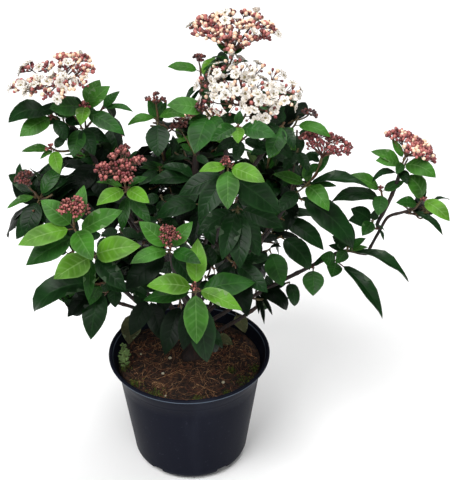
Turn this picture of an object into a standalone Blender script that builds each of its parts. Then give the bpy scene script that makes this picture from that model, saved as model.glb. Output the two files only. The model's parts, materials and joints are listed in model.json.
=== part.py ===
"""Potted laurustinus: an evergreen flowering shrub in a round plastic nursery pot.

The model stands on the flat underside of its pot, whose middle is the origin. +Z is up and the side
that is usually shown faces -Y. Lengths below are in millimetres and become metres in the meshes.

The pot and its compost carry a short trunk. Boughs leave the trunk and end where they enter a mass of
foliage. Each mass and each large flower head is one closed solid, and the fine leaves, twigs, florets
and buds that fill them belong to the finished look.
"""

import math
from dataclasses import dataclass

import bmesh
import bpy
import numpy as np
from mathutils import Vector, noise
from mathutils.bvhtree import BVHTree

MM = 0.001
GAP = 0.4
SMOOTH_ANGLE = math.radians(50)
TEST_RAYS = ((0.31, 0.18, 0.93), (-0.72, 0.41, 0.55), (0.23, -0.86, -0.46))
RAY_STEP = 0.01

POT_HEIGHT = 130.0
RIM_RADIUS = 85.0
COLLAR_HEIGHT = 21.0
BODY_TOP_RADIUS = 75.0
BODY_FOOT_RADIUS = 61.5
FOOT_ROUNDING = 12.0
POT_WALL = 2.0
POT_SEGMENTS = 32

DRAIN_NOTCHES = 5
NOTCH_WIDTH = 15.0
NOTCH_HEIGHT = 9.5
NOTCH_INNER_RADIUS = 46.0
DRAIN_HOLE_RADIUS = 4.0
DRAIN_HOLE_CIRCLE = 32.0

COMPOST_EDGE = 115.0
COMPOST_CROWN = 119.0
COMPOST_RELIEF = 1.6
COMPOST_CLEARANCE = 0.9
COMPOST_FOOT_HEIGHT = 19.0
COMPOST_FOOT_RADIUS = 43.0
COMPOST_SEGMENTS = 24
TRUNK_SEAT_RADIUS = 18.0

TRUNK_FOOT = Vector((2.0, 4.0, COMPOST_CROWN + GAP))
TRUNK_TOP = Vector((14.0, 22.0, 392.0))
TRUNK_RADIUS = 6.0
TRUNK_TOP_RADIUS = 2.6
ROOT_FLARE = 4.5
FLARE_HEIGHT = 9.0
TRUNK_SEGMENTS = 12

BOUGH_FOOT_RADIUS = 2.9
BOUGH_TIP_RADIUS = 1.9
BOUGH_PATH_POINTS = 7

MASS_SEGMENTS = 11
MASS_RINGS = 8
MASS_UNEVENNESS = 0.17
TIP_SHARPNESS = 0.045

HEAD_SEGMENTS = 10
PEDUNCLE_RADIUS = 1.6

LEAF_GREEN = (0.05, 0.16, 0.04, 1.0)
YOUNG_GREEN = (0.12, 0.30, 0.05, 1.0)
BARK_BROWN = (0.10, 0.05, 0.035, 1.0)
POT_BLACK = (0.012, 0.014, 0.022, 1.0)
COMPOST_BROWN = (0.07, 0.035, 0.018, 1.0)
PETAL_WHITE = (0.85, 0.80, 0.74, 1.0)
BUD_RED = (0.35, 0.09, 0.08, 1.0)


@dataclass
class Mass:
    """One mass of foliage: an uneven ellipsoid that also reaches out to the tips of its longest leaves."""

    name: str
    centre: tuple
    radii: tuple
    tips: tuple = ()
    young: bool = False


@dataclass
class Bough:
    """One limb: it leaves the trunk at a height and ends where it enters the mass that it carries."""

    name: str
    height: float
    end: tuple
    lift: float
    into: str
    radius: float = BOUGH_FOOT_RADIUS


@dataclass
class Head:
    """One large flower head: a flat dome on branches that spread from the top of a stalk."""

    name: str
    centre: tuple
    radius: float
    depth: float
    lean: tuple
    on: str
    open_flowers: bool = False


MASSES = (
    Mass("foliage_left_top", (-104, -8, 402), (46, 42, 27), ((-160, -12, 404), (-150, -12, 382), (-60, -6, 436))),
    Mass("foliage_left_tip", (-134, -30, 338), (26, 32, 32), ((-168, -30, 322), (-158, -34, 300)), True),
    Mass("foliage_left_front", (-90, -92, 330), (46, 38, 36), ((-142, -95, 322), (-140, -92, 300)), True),
    Mass("foliage_left_low", (-94, -48, 238), (38, 38, 30), ((-150, -50, 216), (-119, -50, 214), (-93, -50, 182))),
    Mass("foliage_left_inner", (-84, 44, 326), (32, 34, 32), ((-114, 50, 304),)),
    Mass("foliage_left_centre", (-50, -58, 348), (30, 32, 27), ((-26, -66, 352),), True),
    Mass("foliage_mid_left", (-26, 30, 378), (22, 26, 20), ((-56, 30, 384), (-29, 28, 411), (0, 32, 389))),
    Mass("foliage_core", (-12, 34, 326), (26, 28, 28)),
    Mass("foliage_top", (26, 34, 424), (34, 32, 22), ((-14, 34, 442), (56, 30, 446))),
    Mass("foliage_upper_centre", (44, -30, 396), (48, 32, 22), ((-10, -36, 434), (10, -48, 390))),
    Mass("foliage_centre", (38, -66, 346), (42, 34, 32), ((70, -76, 362), (40, -78, 330)), True),
    Mass("foliage_mid_front", (-14, -102, 322), (36, 32, 28), ((-40, -108, 350), (12, -110, 350), (-46, -104, 308)), True),
    Mass("foliage_front", (12, -98, 260), (46, 36, 32), ((54, -104, 252), (62, -80, 264), (13, -104, 210), (22, -92, 186)), True),
    Mass("foliage_right_upper", (92, 14, 390), (32, 28, 22), ((134, 4, 388), (80, 8, 414))),
    Mass("foliage_right_mid", (106, -22, 334), (38, 34, 22), ((138, -24, 316),), True),
    Mass("foliage_right_inner", (84, 18, 278), (34, 34, 30), ((128, 10, 256), (114, 8, 240))),
    Mass("foliage_right_low", (86, 12, 196), (22, 28, 20), ((108, 10, 186), (74, 12, 168))),
    Mass("foliage_right_drape", (140, 0, 264), (14, 20, 16), ((152, 0, 288), (128, -2, 206))),
    Mass("foliage_right_arm", (174, -6, 264), (18, 26, 20), ((202, -12, 181), (224, -8, 228), (176, -4, 294))),
    Mass("foliage_right_fork", (172, 3, 328), (26, 24, 13), ((132, 2, 342), (134, 0, 319), (203, 0, 318))),
    Mass("foliage_right_tip", (209, 0, 351), (17, 22, 10), ((180, 0, 369), (238, -2, 340)), True),
    Mass("foliage_right_end", (231, -8, 312), (18, 22, 13), ((260, -12, 296), (252, -8, 286), (211, -8, 345)), True),
    Mass("foliage_back_left", (-72, 112, 272), (42, 40, 40), ((-112, 132, 250),)),
    Mass("foliage_back_centre", (8, 132, 296), (40, 38, 38), ((6, 172, 284),)),
    Mass("foliage_back_right", (84, 106, 282), (40, 38, 36), ((112, 140, 262),)),
    Mass("foliage_back_low_left", (-52, 88, 190), (40, 38, 30), ((-78, 118, 164),)),
    Mass("foliage_back_low_right", (46, 96, 194), (40, 38, 30), ((66, 128, 164),)),
)

BOUGHS = (
    Bough("bough_left_low", 140, (-97, -48, 232), 12, "foliage_left_low"),
    Bough("bough_left_tip", 164, (-134, -28, 332), -18, "foliage_left_tip"),
    Bough("bough_left_top", 196, (-100, -4, 396), -14, "foliage_left_top"),
    Bough("bough_left_inner", 180, (-84, 44, 322), -14, "foliage_left_inner"),
    Bough("bough_left_front", 152, (-88, -90, 326), -22, "foliage_left_front"),
    Bough("bough_left_centre", 205, (-48, -56, 346), -10, "foliage_left_centre"),
    Bough("bough_mid_front", 168, (-12, -98, 318), -14, "foliage_mid_front"),
    Bough("bough_mid_left", 250, (-24, 30, 372), -14, "foliage_mid_left"),
    Bough("bough_front", 142, (11, -94, 256), -12, "foliage_front"),
    Bough("bough_centre", 212, (36, -62, 342), -10, "foliage_centre"),
    Bough("bough_upper_centre", 258, (42, -26, 392), -6, "foliage_upper_centre"),
    Bough("bough_right_upper", 238, (90, 12, 384), 4, "foliage_right_upper"),
    Bough("bough_right_mid", 192, (102, -22, 330), -12, "foliage_right_mid"),
    Bough("bough_right_inner", 160, (82, 16, 274), -14, "foliage_right_inner"),
    Bough("bough_right_arm", 150, (174, -4, 268), 5, "foliage_right_arm", 3.2),
    Bough("bough_right_low", 132, (88, 12, 192), -4, "foliage_right_low"),
    Bough("bough_back_left", 172, (-70, 108, 268), -12, "foliage_back_left"),
    Bough("bough_back_centre", 188, (8, 128, 292), -16, "foliage_back_centre"),
    Bough("bough_back_right", 178, (82, 102, 278), -12, "foliage_back_right"),
    Bough("bough_back_low_left", 136, (-50, 86, 190), -4, "foliage_back_low_left"),
    Bough("bough_back_low_right", 130, (44, 92, 194), -4, "foliage_back_low_right"),
)

RIGHT_RISE = (
    "bough_right_rise",
    ("foliage_right_arm", "foliage_right_tip"),
    ((174, -5, 266), (208, 0, 352), -8),
    2.5,
)
RIGHT_END = ("foliage_right_end", ((190, -2, 296), (231, -8, 314), -4), 1.9)

HEADS = (
    Head("flower_head_top", (45, 32, 481), 39, 24, (0.04, -0.10, 1.0), "foliage_top"),
    Head("flower_head_white", (62, -30, 444), 47, 24, (0.16, -0.40, 1.0), "foliage_upper_centre", True),
    Head("flower_head_left", (-114, -18, 457), 38, 25, (-0.16, -0.22, 1.0), "foliage_left_top", True),
    Head("flower_head_right", (216, 0, 376), 26, 15, (0.34, -0.12, 1.0), "foliage_right_tip"),
    Head("flower_head_right_mid", (127, -22, 383), 25, 16, (0.30, -0.16, 1.0), "foliage_right_mid"),
    Head("flower_head_left_centre", (-56, -62, 390), 25, 18, (0.0, -0.15, 1.0), "foliage_left_centre"),
    Head("flower_head_back", (14, 128, 348), 30, 18, (0.0, 0.30, 1.0), "foliage_back_centre", True),
)


def clear_scene():
    """Removes whatever the file held before."""
    for obj in list(bpy.data.objects):
        bpy.data.objects.remove(obj, do_unlink=True)


def new_collection(name, hidden=False):
    """A collection in the scene, left out of renders if it only holds cutters."""
    collection = bpy.data.collections.new(name)
    collection.hide_render = hidden
    bpy.context.scene.collection.children.link(collection)
    return collection


def plain_material(name, colour, roughness):
    """A Principled material of one colour."""
    material = bpy.data.materials.new(name)
    material.use_nodes = True
    shader = material.node_tree.nodes["Principled BSDF"]
    shader.inputs["Base Color"].default_value = colour
    shader.inputs["Roughness"].default_value = roughness
    shader.inputs["Metallic"].default_value = 0.0
    material.diffuse_color = colour
    return material


def add_object(name, mesh, collection, material=None):
    """Puts a mesh in the scene as a named object."""
    obj = bpy.data.objects.new(name, mesh)
    collection.objects.link(obj)
    if material:
        mesh.materials.append(material)
    return obj


def as_plain_mesh(obj, name, collection, material=None):
    """Replaces an object with modifiers, or a curve, by the mesh that it evaluates to."""
    bpy.context.view_layer.update()
    graph = bpy.context.evaluated_depsgraph_get()
    mesh = bpy.data.meshes.new_from_object(obj.evaluated_get(graph))
    mesh.transform(obj.matrix_world)
    bpy.data.objects.remove(obj, do_unlink=True)
    tidy = bmesh.new()
    tidy.from_mesh(mesh)
    bmesh.ops.remove_doubles(tidy, verts=tidy.verts, dist=0.01 * MM)
    bmesh.ops.recalc_face_normals(tidy, faces=tidy.faces)
    bmesh.ops.triangulate(tidy, faces=tidy.faces)
    tidy.to_mesh(mesh)
    tidy.free()
    mesh.materials.clear()
    return add_object(name, mesh, collection, material)


def revolve(name, profile, steps, collection, material=None):
    """Turns a profile of (radius, height) points about Z. It starts and ends on the axis."""
    mesh = bpy.data.meshes.new(name)
    points = [(radius * MM, 0.0, height * MM) for radius, height in profile]
    mesh.from_pydata(points, [(i, i + 1) for i in range(len(points) - 1)], [])
    obj = add_object(name, mesh, collection)
    screw = obj.modifiers.new("Screw", "SCREW")
    screw.axis = "Z"
    screw.steps = steps
    screw.render_steps = steps
    screw.use_merge_vertices = True
    screw.merge_threshold = 0.01 * MM
    turned = as_plain_mesh(obj, name, collection, material)
    turned.data.shade_smooth()
    turned.data.set_sharp_from_angle(angle=SMOOTH_ANGLE)
    return turned


def arc(centre, radius, start_deg, end_deg, points):
    """Points of a circular arc as (radius, height), from one angle to another."""
    angles = np.radians(np.linspace(start_deg, end_deg, points))
    return [(centre[0] + radius * math.cos(a), centre[1] + radius * math.sin(a)) for a in angles]


def inner_radius(height):
    """Inner radius of the pot at a height above its underside."""
    collar_foot = POT_HEIGHT - COLLAR_HEIGHT
    if height < collar_foot:
        share = (height - FOOT_ROUNDING) / (collar_foot - FOOT_ROUNDING)
        outer = BODY_FOOT_RADIUS + (BODY_TOP_RADIUS - BODY_FOOT_RADIUS) * share
    else:
        share = (height - collar_foot) / COLLAR_HEIGHT
        outer = BODY_TOP_RADIUS + (RIM_RADIUS - 1.4 - BODY_TOP_RADIUS) * share**0.85
    return outer - POT_WALL


def subtract(obj, cutter_collection, operand):
    """Cuts another object, or every object of a collection, out of this one."""
    cut = obj.modifiers.new("Cut", "BOOLEAN")
    cut.operation = "DIFFERENCE"
    cut.solver = "EXACT"
    if isinstance(operand, bpy.types.Collection):
        cut.operand_type = "COLLECTION"
        cut.collection = operand
        return
    operand.hide_render = True
    operand.display_type = "WIRE"
    if operand.name not in cutter_collection.objects:
        cutter_collection.objects.link(operand)
    cut.object = operand


def build_pot(collection, cutters):
    """The pot: a thin tapering wall with a flared collar, a beaded rim and notches that let water out."""
    collar_foot = POT_HEIGHT - COLLAR_HEIGHT
    bead = 2.0
    inside_foot = FOOT_ROUNDING - POT_WALL
    inside = [(0.0, POT_WALL), (inner_radius(FOOT_ROUNDING) - inside_foot, POT_WALL)]
    inside += arc((inner_radius(FOOT_ROUNDING) - inside_foot, FOOT_ROUNDING), inside_foot, -60, 0, 3)
    inside += [(inner_radius(h), h) for h in (collar_foot, collar_foot + 7, POT_HEIGHT - bead)]
    rim = arc((RIM_RADIUS - bead, POT_HEIGHT - bead), bead, 130, -60, 5)
    outside = [(inner_radius(h) + POT_WALL, h) for h in (POT_HEIGHT - 2.4 * bead, collar_foot + 7, collar_foot)]
    foot_centre = (BODY_FOOT_RADIUS - FOOT_ROUNDING, FOOT_ROUNDING)
    outside += arc(foot_centre, FOOT_ROUNDING, 0, -90, 5)
    outside += [(0.0, 0.0)]
    pot = revolve("pot", inside + rim + outside, POT_SEGMENTS, collection, plain_material("pot", POT_BLACK, 0.45))

    drains = bpy.data.collections.new("drain_cutters")
    cutters.children.link(drains)
    for i in range(DRAIN_NOTCHES):
        around = math.radians(-90 + 360 / DRAIN_NOTCHES * (i + 0.5))
        away = Vector((math.cos(around), math.sin(around), 0.0))
        body = bmesh.new()
        bmesh.ops.create_cube(body, size=1.0)
        bmesh.ops.scale(body, vec=(30 * MM, NOTCH_WIDTH * MM, 2 * NOTCH_HEIGHT * MM), verts=body.verts)
        mesh = bpy.data.meshes.new("notch")
        body.to_mesh(mesh)
        body.free()
        notch = add_object(f"notch_{i}", mesh, drains)
        notch.location = away * (NOTCH_INNER_RADIUS + 15) * MM
        notch.rotation_euler.z = around
        bpy.ops.mesh.primitive_cylinder_add(vertices=10, radius=DRAIN_HOLE_RADIUS * MM, depth=12 * MM)
        hole = bpy.context.object
        hole.name = f"drain_{i}"
        half_step = math.radians(180 / DRAIN_NOTCHES)
        turned = around + half_step
        hole.location = Vector((math.cos(turned), math.sin(turned), 0.0)) * DRAIN_HOLE_CIRCLE * MM
        for old in list(hole.users_collection):
            old.objects.unlink(hole)
        drains.objects.link(hole)
        for cutter in (notch, hole):
            cutter.hide_render = True
            cutter.display_type = "WIRE"
    subtract(pot, cutters, drains)
    return pot


def build_compost(collection):
    """The compost: a low uneven mound with a flat seat for the trunk, drawn in below, clear of the notches."""
    side_heights = (COMPOST_FOOT_HEIGHT, 60.0, POT_HEIGHT - COLLAR_HEIGHT, COMPOST_EDGE)
    side = [(inner_radius(max(h, FOOT_ROUNDING)) - COMPOST_CLEARANCE, h) for h in side_heights]
    rings = (66.0, 50.0, 34.0, TRUNK_SEAT_RADIUS)
    profile = [(0.0, COMPOST_CROWN), (TRUNK_SEAT_RADIUS, COMPOST_CROWN)]
    for radius in reversed(rings[:-1]):
        share = 1 - radius / side[-1][0]
        profile.append((radius, COMPOST_EDGE + (COMPOST_CROWN - COMPOST_EDGE) * share))
    profile += list(reversed(side))
    profile += [(COMPOST_FOOT_RADIUS, POT_WALL + GAP), (0.0, POT_WALL + GAP)]
    compost = revolve("compost", profile, COMPOST_SEGMENTS, collection, plain_material("compost", COMPOST_BROWN, 0.95))
    edge_radius = side[-1][0] - 2
    for vertex in compost.data.vertices:
        x, y, z = (c / MM for c in vertex.co)
        radius = math.hypot(x, y)
        if z > COMPOST_EDGE - 1 and TRUNK_SEAT_RADIUS + 2 < radius < edge_radius:
            vertex.co.z += COMPOST_RELIEF * MM * noise.noise(Vector((x * 0.06, y * 0.06, 3.1)))
    return compost


def trunk_centre(height):
    """Centre of the trunk at a height: it leans back and to the right, with a slight sway."""
    share = (height - TRUNK_FOOT.z) / (TRUNK_TOP.z - TRUNK_FOOT.z)
    centre = TRUNK_FOOT.lerp(TRUNK_TOP, share)
    centre.x += 3.0 * math.sin(math.pi * 2 * share)
    return centre


def trunk_radius(height):
    """Radius of the trunk at a height: a root flare at the ground, then an even taper."""
    share = (height - TRUNK_FOOT.z) / (TRUNK_TOP.z - TRUNK_FOOT.z)
    taper = TRUNK_RADIUS + (TRUNK_TOP_RADIUS - TRUNK_RADIUS) * share
    return taper + ROOT_FLARE * math.exp(-(height - TRUNK_FOOT.z) / FLARE_HEIGHT)


def tube(name, points, radii, collection, material=None):
    """A limb: a poly curve whose bevel follows a radius at each point, made into a closed mesh."""
    curve = bpy.data.curves.new(name, "CURVE")
    curve.dimensions = "3D"
    curve.bevel_depth = 1.0 * MM
    curve.bevel_resolution = 1
    curve.use_fill_caps = True
    curve.twist_mode = "MINIMUM"
    spline = curve.splines.new("POLY")
    spline.points.add(len(points) - 1)
    for slot, point, radius in zip(spline.points, points, radii):
        slot.co = (*(Vector(point) * MM), 1.0)
        slot.radius = radius
    obj = bpy.data.objects.new(name, curve)
    collection.objects.link(obj)
    limb = as_plain_mesh(obj, name, collection, material)
    limb.data.shade_smooth()
    limb.data.set_sharp_from_angle(angle=SMOOTH_ANGLE)
    return limb


def trunk_solid(name, heights, swell, collection, material=None):
    """The trunk between its lowest and highest level, swollen all round by a clearance.

    It is turned upright and each level then moves over to the trunk's leaning centre line, so that
    the foot stays a flat cut.
    """
    levels = [heights[0] - swell, *heights[1:-1], heights[-1] + swell]
    sides = [(trunk_radius(h) + swell, level) for h, level in zip(heights, levels)]
    profile = [(0.0, levels[-1]), *reversed(sides), (0.0, levels[0])]
    trunk = revolve(name, profile, TRUNK_SEGMENTS, collection, material)
    for vertex in trunk.data.vertices:
        centre = trunk_centre(vertex.co.z / MM)
        vertex.co.x += centre.x * MM
        vertex.co.y += centre.y * MM
    return trunk


def surface_of(obj):
    """A search tree over an object's mesh, in metres."""
    body = bmesh.new()
    body.from_mesh(obj.data)
    bmesh.ops.triangulate(body, faces=body.faces)
    tree = BVHTree.FromBMesh(body)
    body.free()
    return tree


def crossings(tree, origin, ray):
    """How many times a ray from a point goes through a surface."""
    count = 0
    hit = tree.ray_cast(origin, ray)[0]
    while hit is not None:
        count += 1
        hit = tree.ray_cast(hit + ray * RAY_STEP * MM, ray)[0]
    return count


def outside_distance(tree, point):
    """Distance in millimetres from a point to a closed surface, negative if most rays say it is inside."""
    origin = point * MM
    distance = tree.find_nearest(origin)[3] / MM
    odd = sum(crossings(tree, origin, Vector(ray).normalized()) % 2 for ray in TEST_RAYS)
    return -distance if odd > len(TEST_RAYS) / 2 else distance


def mass_reach(mass, direction):
    """Distance from a mass's centre to its surface in a direction, before its neighbours trim it."""
    stretched = Vector(d / r for d, r in zip(direction, mass.radii))
    ellipsoid = 1.0 / stretched.length
    seed = Vector((sum(map(ord, mass.name)) * 0.37, mass.centre[0] * 0.11, mass.centre[2] * 0.07))
    coarse = noise.noise(direction * 1.7 + seed)
    fine = noise.noise(direction * 4.1 + seed * 1.3)
    reach = ellipsoid * (1 + MASS_UNEVENNESS * (1.4 * coarse + 0.8 * fine))
    for tip in mass.tips:
        way = Vector(tip) - Vector(mass.centre)
        nearness = math.exp(-(1 - direction.dot(way.normalized())) / TIP_SHARPNESS)
        reach += max(0.0, way.length - reach) * nearness
    return reach


def trimming_planes(mass):
    """(normal, distance) of the planes midway between a mass and each of its neighbours."""
    planes = []
    for other in MASSES:
        if other is mass:
            continue
        way = Vector(other.centre) - Vector(mass.centre)
        normal = way.normalized()
        own = 1.0 / Vector(n / r for n, r in zip(normal, mass.radii)).length
        theirs = 1.0 / Vector(n / r for n, r in zip(normal, other.radii)).length
        planes.append((normal, way.length * own / (own + theirs) - GAP / 2))
    return planes


def trimmed_point(mass, direction, reach, planes):
    """A point of a mass's surface in metres, drawn back to the nearest plane that it would cross."""
    for normal, distance in planes:
        facing = direction.dot(normal)
        if facing > 1e-6:
            reach = min(reach, distance / facing)
    return (Vector(mass.centre) + direction * reach) * MM


def build_mass(mass, collection, materials):
    """One mass of foliage: a sphere whose points are moved out to the mass's uneven surface.

    The point nearest to each tip's direction goes to the tip itself, so that the mass has its true
    outline however coarse the sphere is.
    """
    body = bmesh.new()
    bmesh.ops.create_uvsphere(body, u_segments=MASS_SEGMENTS, v_segments=MASS_RINGS, radius=1.0)
    planes = trimming_planes(mass)
    directions = {vertex: vertex.co.normalized() for vertex in body.verts}
    tip_vertices = {}
    for tip in mass.tips:
        way = (Vector(tip) - Vector(mass.centre)).normalized()
        free = [v for v in body.verts if v not in tip_vertices]
        tip_vertices[max(free, key=lambda v: directions[v].dot(way))] = Vector(tip)
    for vertex, direction in directions.items():
        reach = mass_reach(mass, direction)
        if vertex in tip_vertices:
            way = tip_vertices[vertex] - Vector(mass.centre)
            direction, reach = way.normalized(), way.length
        vertex.co = trimmed_point(mass, direction, reach, planes)
    bmesh.ops.triangulate(body, faces=body.faces)
    mesh = bpy.data.meshes.new(mass.name)
    body.to_mesh(mesh)
    body.free()
    return add_object(mass.name, mesh, collection, materials["young" if mass.young else "old"])


def limb_point(start, end, lift, share):
    """A point of a limb's line: a quadratic curve that rises early by its lift, or late if that is negative."""
    start, end = Vector(start), Vector(end)
    outward = Vector((end.x - start.x, end.y - start.y, 0.0)).normalized()
    middle = (start + end) / 2 + (Vector((0, 0, 1)) - outward) * lift
    return start * (1 - share) ** 2 + middle * 2 * share * (1 - share) + end * share**2


def ring_around(centre, along, radius, count=8):
    """Points of a circle about a limb's line, with its centre."""
    side = along.orthogonal().normalized()
    up = along.cross(side).normalized()
    turns = [2 * math.pi * i / count for i in range(count)]
    return [centre] + [centre + (side * math.cos(t) + up * math.sin(t)) * radius for t in turns]


def entry_share(line, radius, tree, clearance):
    """The share of a line at which a limb of this radius is just clear of the surface that it enters."""
    step = 0.004
    share = step
    while share < 1.0:
        along = (line(share) - line(share - step)).normalized()
        ring = ring_around(line(share), along, radius)
        if min(outside_distance(tree, p) for p in ring) < clearance:
            break
        share += step
    low, high = share - step, share
    for _ in range(12):
        middle = (low + high) / 2
        along = (line(middle + 0.001) - line(middle - 0.001)).normalized()
        ring = ring_around(line(middle), along, radius)
        if min(outside_distance(tree, p) for p in ring) < clearance:
            high = middle
        else:
            low = middle
    return low


def boxes_meet(first, second):
    """Whether two objects' boxes touch, in world space."""
    a = np.array([v.co for v in first.data.vertices])
    b = np.array([v.co for v in second.data.vertices])
    return bool((a.min(0) < b.max(0)).all() and (b.min(0) < a.max(0)).all())


def surfaces_meet(first, second):
    """Whether two objects' surfaces cross, or one holds the other."""
    if not boxes_meet(first, second):
        return False
    tree = surface_of(first)
    if tree.overlap(surface_of(second)):
        return True
    return outside_distance(tree, second.data.vertices[0].co / MM) < 0


def cut_masses(cutter, masses, cutters, spare=()):
    """Cuts a channel through every mass that a swollen limb crosses, and drops the cutter if none does."""
    crossed = [m for m in masses.values() if m.name not in spare and surfaces_meet(m, cutter)]
    for mass in crossed:
        subtract(mass, cutters, cutter)
    if not crossed:
        bpy.data.objects.remove(cutter, do_unlink=True)


def build_trunk(collection, cutters, masses, bark):
    """The short trunk, from its flat cut on the compost to where it enters the top foliage."""
    heights = [TRUNK_FOOT.z + h for h in (0.0, 4.0, 10.0, 20.0)]
    top_tree = surface_of(masses["foliage_top"])
    span = TRUNK_TOP.z + 20 - heights[-1]

    def line(share):
        return trunk_centre(heights[-1] + span * share)

    top = heights[-1] + span * entry_share(line, TRUNK_TOP_RADIUS, top_tree, 2 * GAP)
    heights += list(np.linspace(heights[-1], top, 8)[1:])
    trunk_solid("trunk", heights, 0.0, collection, bark)
    channel = trunk_solid("trunk_channel", heights, GAP, cutters)
    cut_masses(channel, masses, cutters, {"foliage_top"})
    return heights


def build_bough(bough, collection, cutters, masses, trunk_clearance, bark):
    """One bough, cut off square where it meets its mass, and trimmed to the trunk's side at its foot."""
    tree = surface_of(masses[bough.into])
    tip_radius = BOUGH_TIP_RADIUS

    start = trunk_centre(bough.height)

    def line(share):
        return limb_point(start, bough.end, bough.lift, share)

    end = entry_share(line, tip_radius, tree, GAP)
    shares = np.linspace(0.0, end, BOUGH_PATH_POINTS)
    points = [line(s) for s in shares]
    radii = [bough.radius + (tip_radius - bough.radius) * s / end for s in shares]
    limb = tube(bough.name, points, radii, collection, bark)
    subtract(limb, cutters, trunk_clearance)
    channel = tube(bough.name + "_channel", points, [r + GAP for r in radii], cutters)
    cut_masses(channel, masses, cutters, {bough.into})
    return limb


def build_link(name, ends, route, radius, collection, cutters, masses, bark):
    """A limb that runs on from one mass to another, followed from its middle until it meets each."""
    first_mass, last_mass = ends
    start, end, lift = route

    def onward(share):
        return limb_point(start, end, lift, 0.5 + share / 2)

    def backward(share):
        return limb_point(start, end, lift, 0.5 - share / 2)

    last = 0.5 + entry_share(onward, radius * 0.8, surface_of(masses[last_mass]), GAP) / 2
    first = 0.5 - entry_share(backward, radius, surface_of(masses[first_mass]), GAP) / 2
    shares = np.linspace(first, last, BOUGH_PATH_POINTS - 1)
    points = [limb_point(start, end, lift, s) for s in shares]
    radii = list(np.linspace(radius, radius * 0.8, len(shares)))
    limb = tube(name, points, radii, collection, bark)
    channel = tube(name + "_channel", points, [r + GAP for r in radii], cutters)
    cut_masses(channel, masses, cutters, set(ends))
    return limb


def build_branch(name, parent, mass_name, route, radius, collection, cutters, masses, bark):
    """A limb that leaves another limb's side and ends at its mass."""
    start, end, lift = route
    parent_tree = surface_of(parent)

    def onward(share):
        return limb_point(start, end, lift, share)

    def backward(share):
        return limb_point(start, end, lift, 0.5 - share / 2)

    last = entry_share(onward, radius * 0.8, surface_of(masses[mass_name]), GAP)
    first = 0.5 - entry_share(backward, radius, parent_tree, GAP) / 2
    shares = np.linspace(first, last, BOUGH_PATH_POINTS - 2)
    points = [limb_point(start, end, lift, s) for s in shares]
    radii = list(np.linspace(radius, radius * 0.8, len(shares)))
    limb = tube(name, points, radii, collection, bark)
    channel = tube(name + "_channel", points, [r + GAP for r in radii], cutters)
    cut_masses(channel, masses, cutters, {mass_name})
    return limb


def head_profile(head, stalk):
    """Half outline of a flower head, from the top of its dome to the foot of its stalk."""
    r, d = head.radius, head.depth
    dome = [(0.0, 0.40 * d), (0.55 * r, 0.32 * d), (0.88 * r, 0.10 * d), (r, -0.12 * d)]
    cone = [(0.80 * r, -0.42 * d), (0.30 * r, -0.78 * d), (PEDUNCLE_RADIUS * 1.3, -d)]
    return dome + cone + [(PEDUNCLE_RADIUS, -d - stalk), (0.0, -d - stalk)]


def build_head(head, collection, cutters, masses, material):
    """One flower head, whose stalk is as long as it takes to reach the foliage below."""
    axis = Vector(head.lean).normalized()
    turn = Vector((0, 0, 1)).rotation_difference(axis)
    centre = Vector(head.centre)
    under = centre - axis * head.depth
    tree = surface_of(masses[head.on])
    reach = 70.0

    def line(share):
        return under - axis * reach * share

    stalk = max(1.0, reach * entry_share(line, PEDUNCLE_RADIUS, tree, GAP))
    obj = revolve(head.name, head_profile(head, stalk), HEAD_SEGMENTS, collection, material)
    seed = Vector((head.centre[0] * 0.13, head.centre[1] * 0.17, 5.0))
    for vertex in obj.data.vertices:
        local = vertex.co / MM
        if local.z > -0.6 * head.depth:
            uneven = 1 + 0.13 * noise.noise(local * 0.055 + seed)
            local = Vector((local.x * uneven, local.y * uneven, local.z * uneven))
        vertex.co = (turn @ local + centre) * MM
    clearance = obj.copy()
    clearance.data = obj.data.copy()
    clearance.name = head.name + "_clearance"
    cutters.objects.link(clearance)
    body = bmesh.new()
    body.from_mesh(clearance.data)
    bmesh.ops.recalc_face_normals(body, faces=body.faces)
    body.normal_update()
    for vertex in body.verts:
        vertex.co += vertex.normal * GAP * 1.6 * MM
    body.to_mesh(clearance.data)
    body.free()
    cut_masses(clearance, masses, cutters)
    return obj


def build_model():
    """Builds every sub-part of the potted shrub."""
    clear_scene()
    parts = new_collection("potted_laurustinus")
    cutters = new_collection("cutters", hidden=True)
    bark = plain_material("bark", BARK_BROWN, 0.8)
    leaf = {
        "old": plain_material("old_leaf", LEAF_GREEN, 0.4),
        "young": plain_material("young_leaf", YOUNG_GREEN, 0.4),
    }
    petals = plain_material("petals", PETAL_WHITE, 0.6)
    buds = plain_material("buds", BUD_RED, 0.6)

    build_pot(parts, cutters)
    build_compost(parts)
    masses = {mass.name: build_mass(mass, parts, leaf) for mass in MASSES}
    heights = build_trunk(parts, cutters, masses, bark)
    trunk_clearance = trunk_solid("trunk_clearance", heights, GAP, cutters)
    for bough in BOUGHS:
        build_bough(bough, parts, cutters, masses, trunk_clearance, bark)
    rise = build_link(*RIGHT_RISE, parts, cutters, masses, bark)
    build_branch("bough_right_end", rise, *RIGHT_END, parts, cutters, masses, bark)
    for head in HEADS:
        build_head(head, parts, cutters, masses, petals if head.open_flowers else buds)


if __name__ == "__main__":
    build_model()
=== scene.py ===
"""Looks of the potted laurustinus: bark, leaves, flowers, pot and compost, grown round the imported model.

Sizes are in millimetres and angles in degrees unless a name says otherwise. Directions in the tables of
shoots are the photograph's own: to its right, up it, and towards its camera.
"""

import json
import logging
import math
from collections.abc import Sequence
from dataclasses import dataclass, field
from enum import Enum
from itertools import product

import bpy
import numpy as np
from mathutils import Matrix, Vector, noise
from mathutils.bvhtree import BVHTree

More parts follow.
